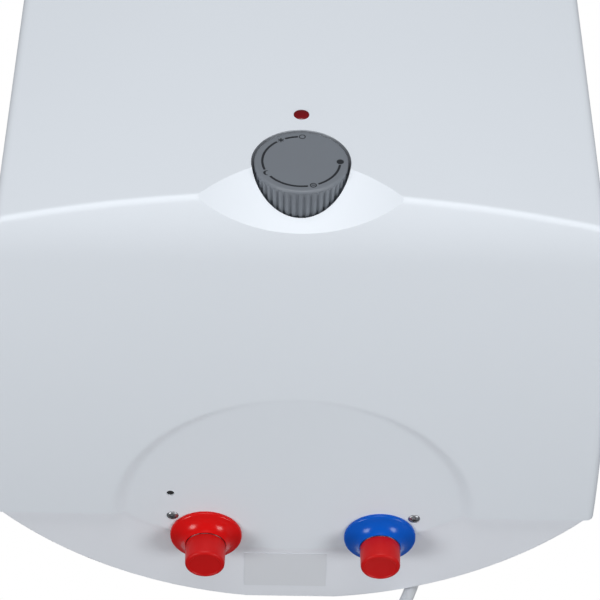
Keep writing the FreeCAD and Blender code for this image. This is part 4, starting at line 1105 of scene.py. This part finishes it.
focal_pixels = 2428.85
frame_pixels = 600
sensor = 36.0
camera_place = Vector((-12.205, -1154.175, -1270.297)) * mm
camera_pitch = math.radians(44.341)
camera_yaw = math.radians(-0.811)
camera_roll = math.radians(0.3396)


def make_camera():
    forward = Vector((
        -math.sin(camera_yaw) * math.cos(camera_pitch),
        math.cos(camera_yaw) * math.cos(camera_pitch),
        math.sin(camera_pitch),
    ))
    level = Vector((math.cos(camera_yaw), math.sin(camera_yaw), 0))
    above = level.cross(forward)
    right = level * math.cos(camera_roll) + above * math.sin(camera_roll)
    top = above * math.cos(camera_roll) - level * math.sin(camera_roll)
    data = bpy.data.cameras.new("camera")
    data.sensor_width = sensor
    data.lens = focal_pixels / frame_pixels * sensor
    data.clip_start = 0.01
    data.clip_end = 50
    camera = link_object(bpy.data.objects.new("camera", data))
    turn = Matrix((right, top, -forward)).transposed().to_4x4()
    camera.matrix_world = Matrix.Translation(camera_place) @ turn
    bpy.context.scene.camera = camera


make_camera()

# The pieces

lead, lead_end = make_lead()
fit(lead, "cord_white", "heater", "power_cord", "cord_coil")
plug = fit(make_plug(lead_end), "plug_white", "heater", "plug_body")

fit(make_front_cover(), "casing_white", "heater", "front_cover")
fit(make_rear_cover(), "rear_white", "heater", "rear_cover")
fit(make_rosette("hot_rosette_skin", -1), "rosette_red", "heater", "hot_rosette")
fit(make_rosette("cold_rosette_skin", 1), "rosette_blue", "heater", "cold_rosette")
fit(make_cap("hot_cap_skin", -1), "cap_red", "hot_cap", "hot_cap")
fit(make_cap("cold_cap_skin", 1), "cap_red", "cold_cap", "cold_cap")
fit(make_lens(), "lamp_red", "heater", "indicator_lens")
fit(make_knob(), "knob_grey", "knob", "dial_knob")
fit(make_marks(), "black_plastic", "knob", material=print_finish)
for name, side in (("left_screw", -1), ("right_screw", 1)):
    fit(make_screw(name, side), "screw_steel", "heater", "cover_screws")


# Stage and light

def make_floor():
    """A wide floor, well below the camera."""
    floor_z = -3.4
    half_size = 12
    bm = bmesh.new()
    bmesh.ops.create_grid(bm, x_segments=1, y_segments=1, size=half_size)
    bmesh.ops.translate(bm, vec=(0, 0, floor_z), verts=bm.verts[:])
    floor = piece_from(bm, "floor")
    floor.data.materials.append(plastic("floor_white", (0.8, 0.8, 0.8, 1), 0.8, 0.9))


def make_light(name, place, size, power):
    """A square lamp that faces the lower end of the casing."""
    target = Vector((0, -0.2, -0.35))
    data = bpy.data.lights.new(name, "AREA")
    data.shape = "SQUARE"
    data.size = size
    data.energy = power
    light = link_object(bpy.data.objects.new(name, data))
    light.location = place
    light.rotation_euler = (target - Vector(place)).to_track_quat("-Z", "Y").to_euler()


def make_world():
    """White to the camera, and a soft light that is weaker from above and in reflections."""
    straight_down, above = -1, 0.3
    from_below, from_above = 0.44, 0.16
    in_reflections = 0.8
    world = bpy.data.worlds.new("studio")
    bpy.context.scene.world = world
    world.use_nodes = True
    tree = world.node_tree
    tree.nodes.clear()
    add, link = tree.nodes.new, tree.links.new
    end = add("ShaderNodeOutputWorld")
    seen, light, mix = add("ShaderNodeBackground"), add("ShaderNodeBackground"), add("ShaderNodeMixShader")
    path, place, split = add("ShaderNodeLightPath"), add("ShaderNodeTexCoord"), add("ShaderNodeSeparateXYZ")
    rise, mirrored = add("ShaderNodeMapRange"), add("ShaderNodeMapRange")
    dim = add("ShaderNodeMath")
    dim.operation = "MULTIPLY"
    rise.inputs["From Min"].default_value = straight_down
    rise.inputs["From Max"].default_value = above
    rise.inputs["To Min"].default_value = from_below
    rise.inputs["To Max"].default_value = from_above
    mirrored.inputs["To Min"].default_value = 1.0
    mirrored.inputs["To Max"].default_value = in_reflections
    seen.inputs["Color"].default_value = (1, 1, 1, 1)
    light.inputs["Color"].default_value = (0.95, 0.97, 1, 1)
    link(place.outputs["Generated"], split.inputs["Vector"])
    link(split.outputs["Z"], rise.inputs["Value"])
    link(path.outputs["Is Glossy Ray"], mirrored.inputs["Value"])
    link(rise.outputs["Result"], dim.inputs[0])
    link(mirrored.outputs["Result"], dim.inputs[1])
    link(dim.outputs["Value"], light.inputs["Strength"])
    link(path.outputs["Is Camera Ray"], mix.inputs["Fac"])
    link(light.outputs["Background"], mix.inputs[1])
    link(seen.outputs["Background"], mix.inputs[2])
    link(mix.outputs["Shader"], end.inputs["Surface"])


make_floor()
make_world()
make_light("soft_left", (-1.28, -0.6, -1.7), 0.6, 12.7)
make_light("soft_right", (1.28, -0.6, -1.7), 0.6, 12.7)
make_light("soft_front", (0, -2.38, -0.45), 1.4, 31)
make_light("soft_back", (0, 2.6, 0.9), 1.4, 16)
bpy.context.scene.view_settings.view_transform = "Standard"
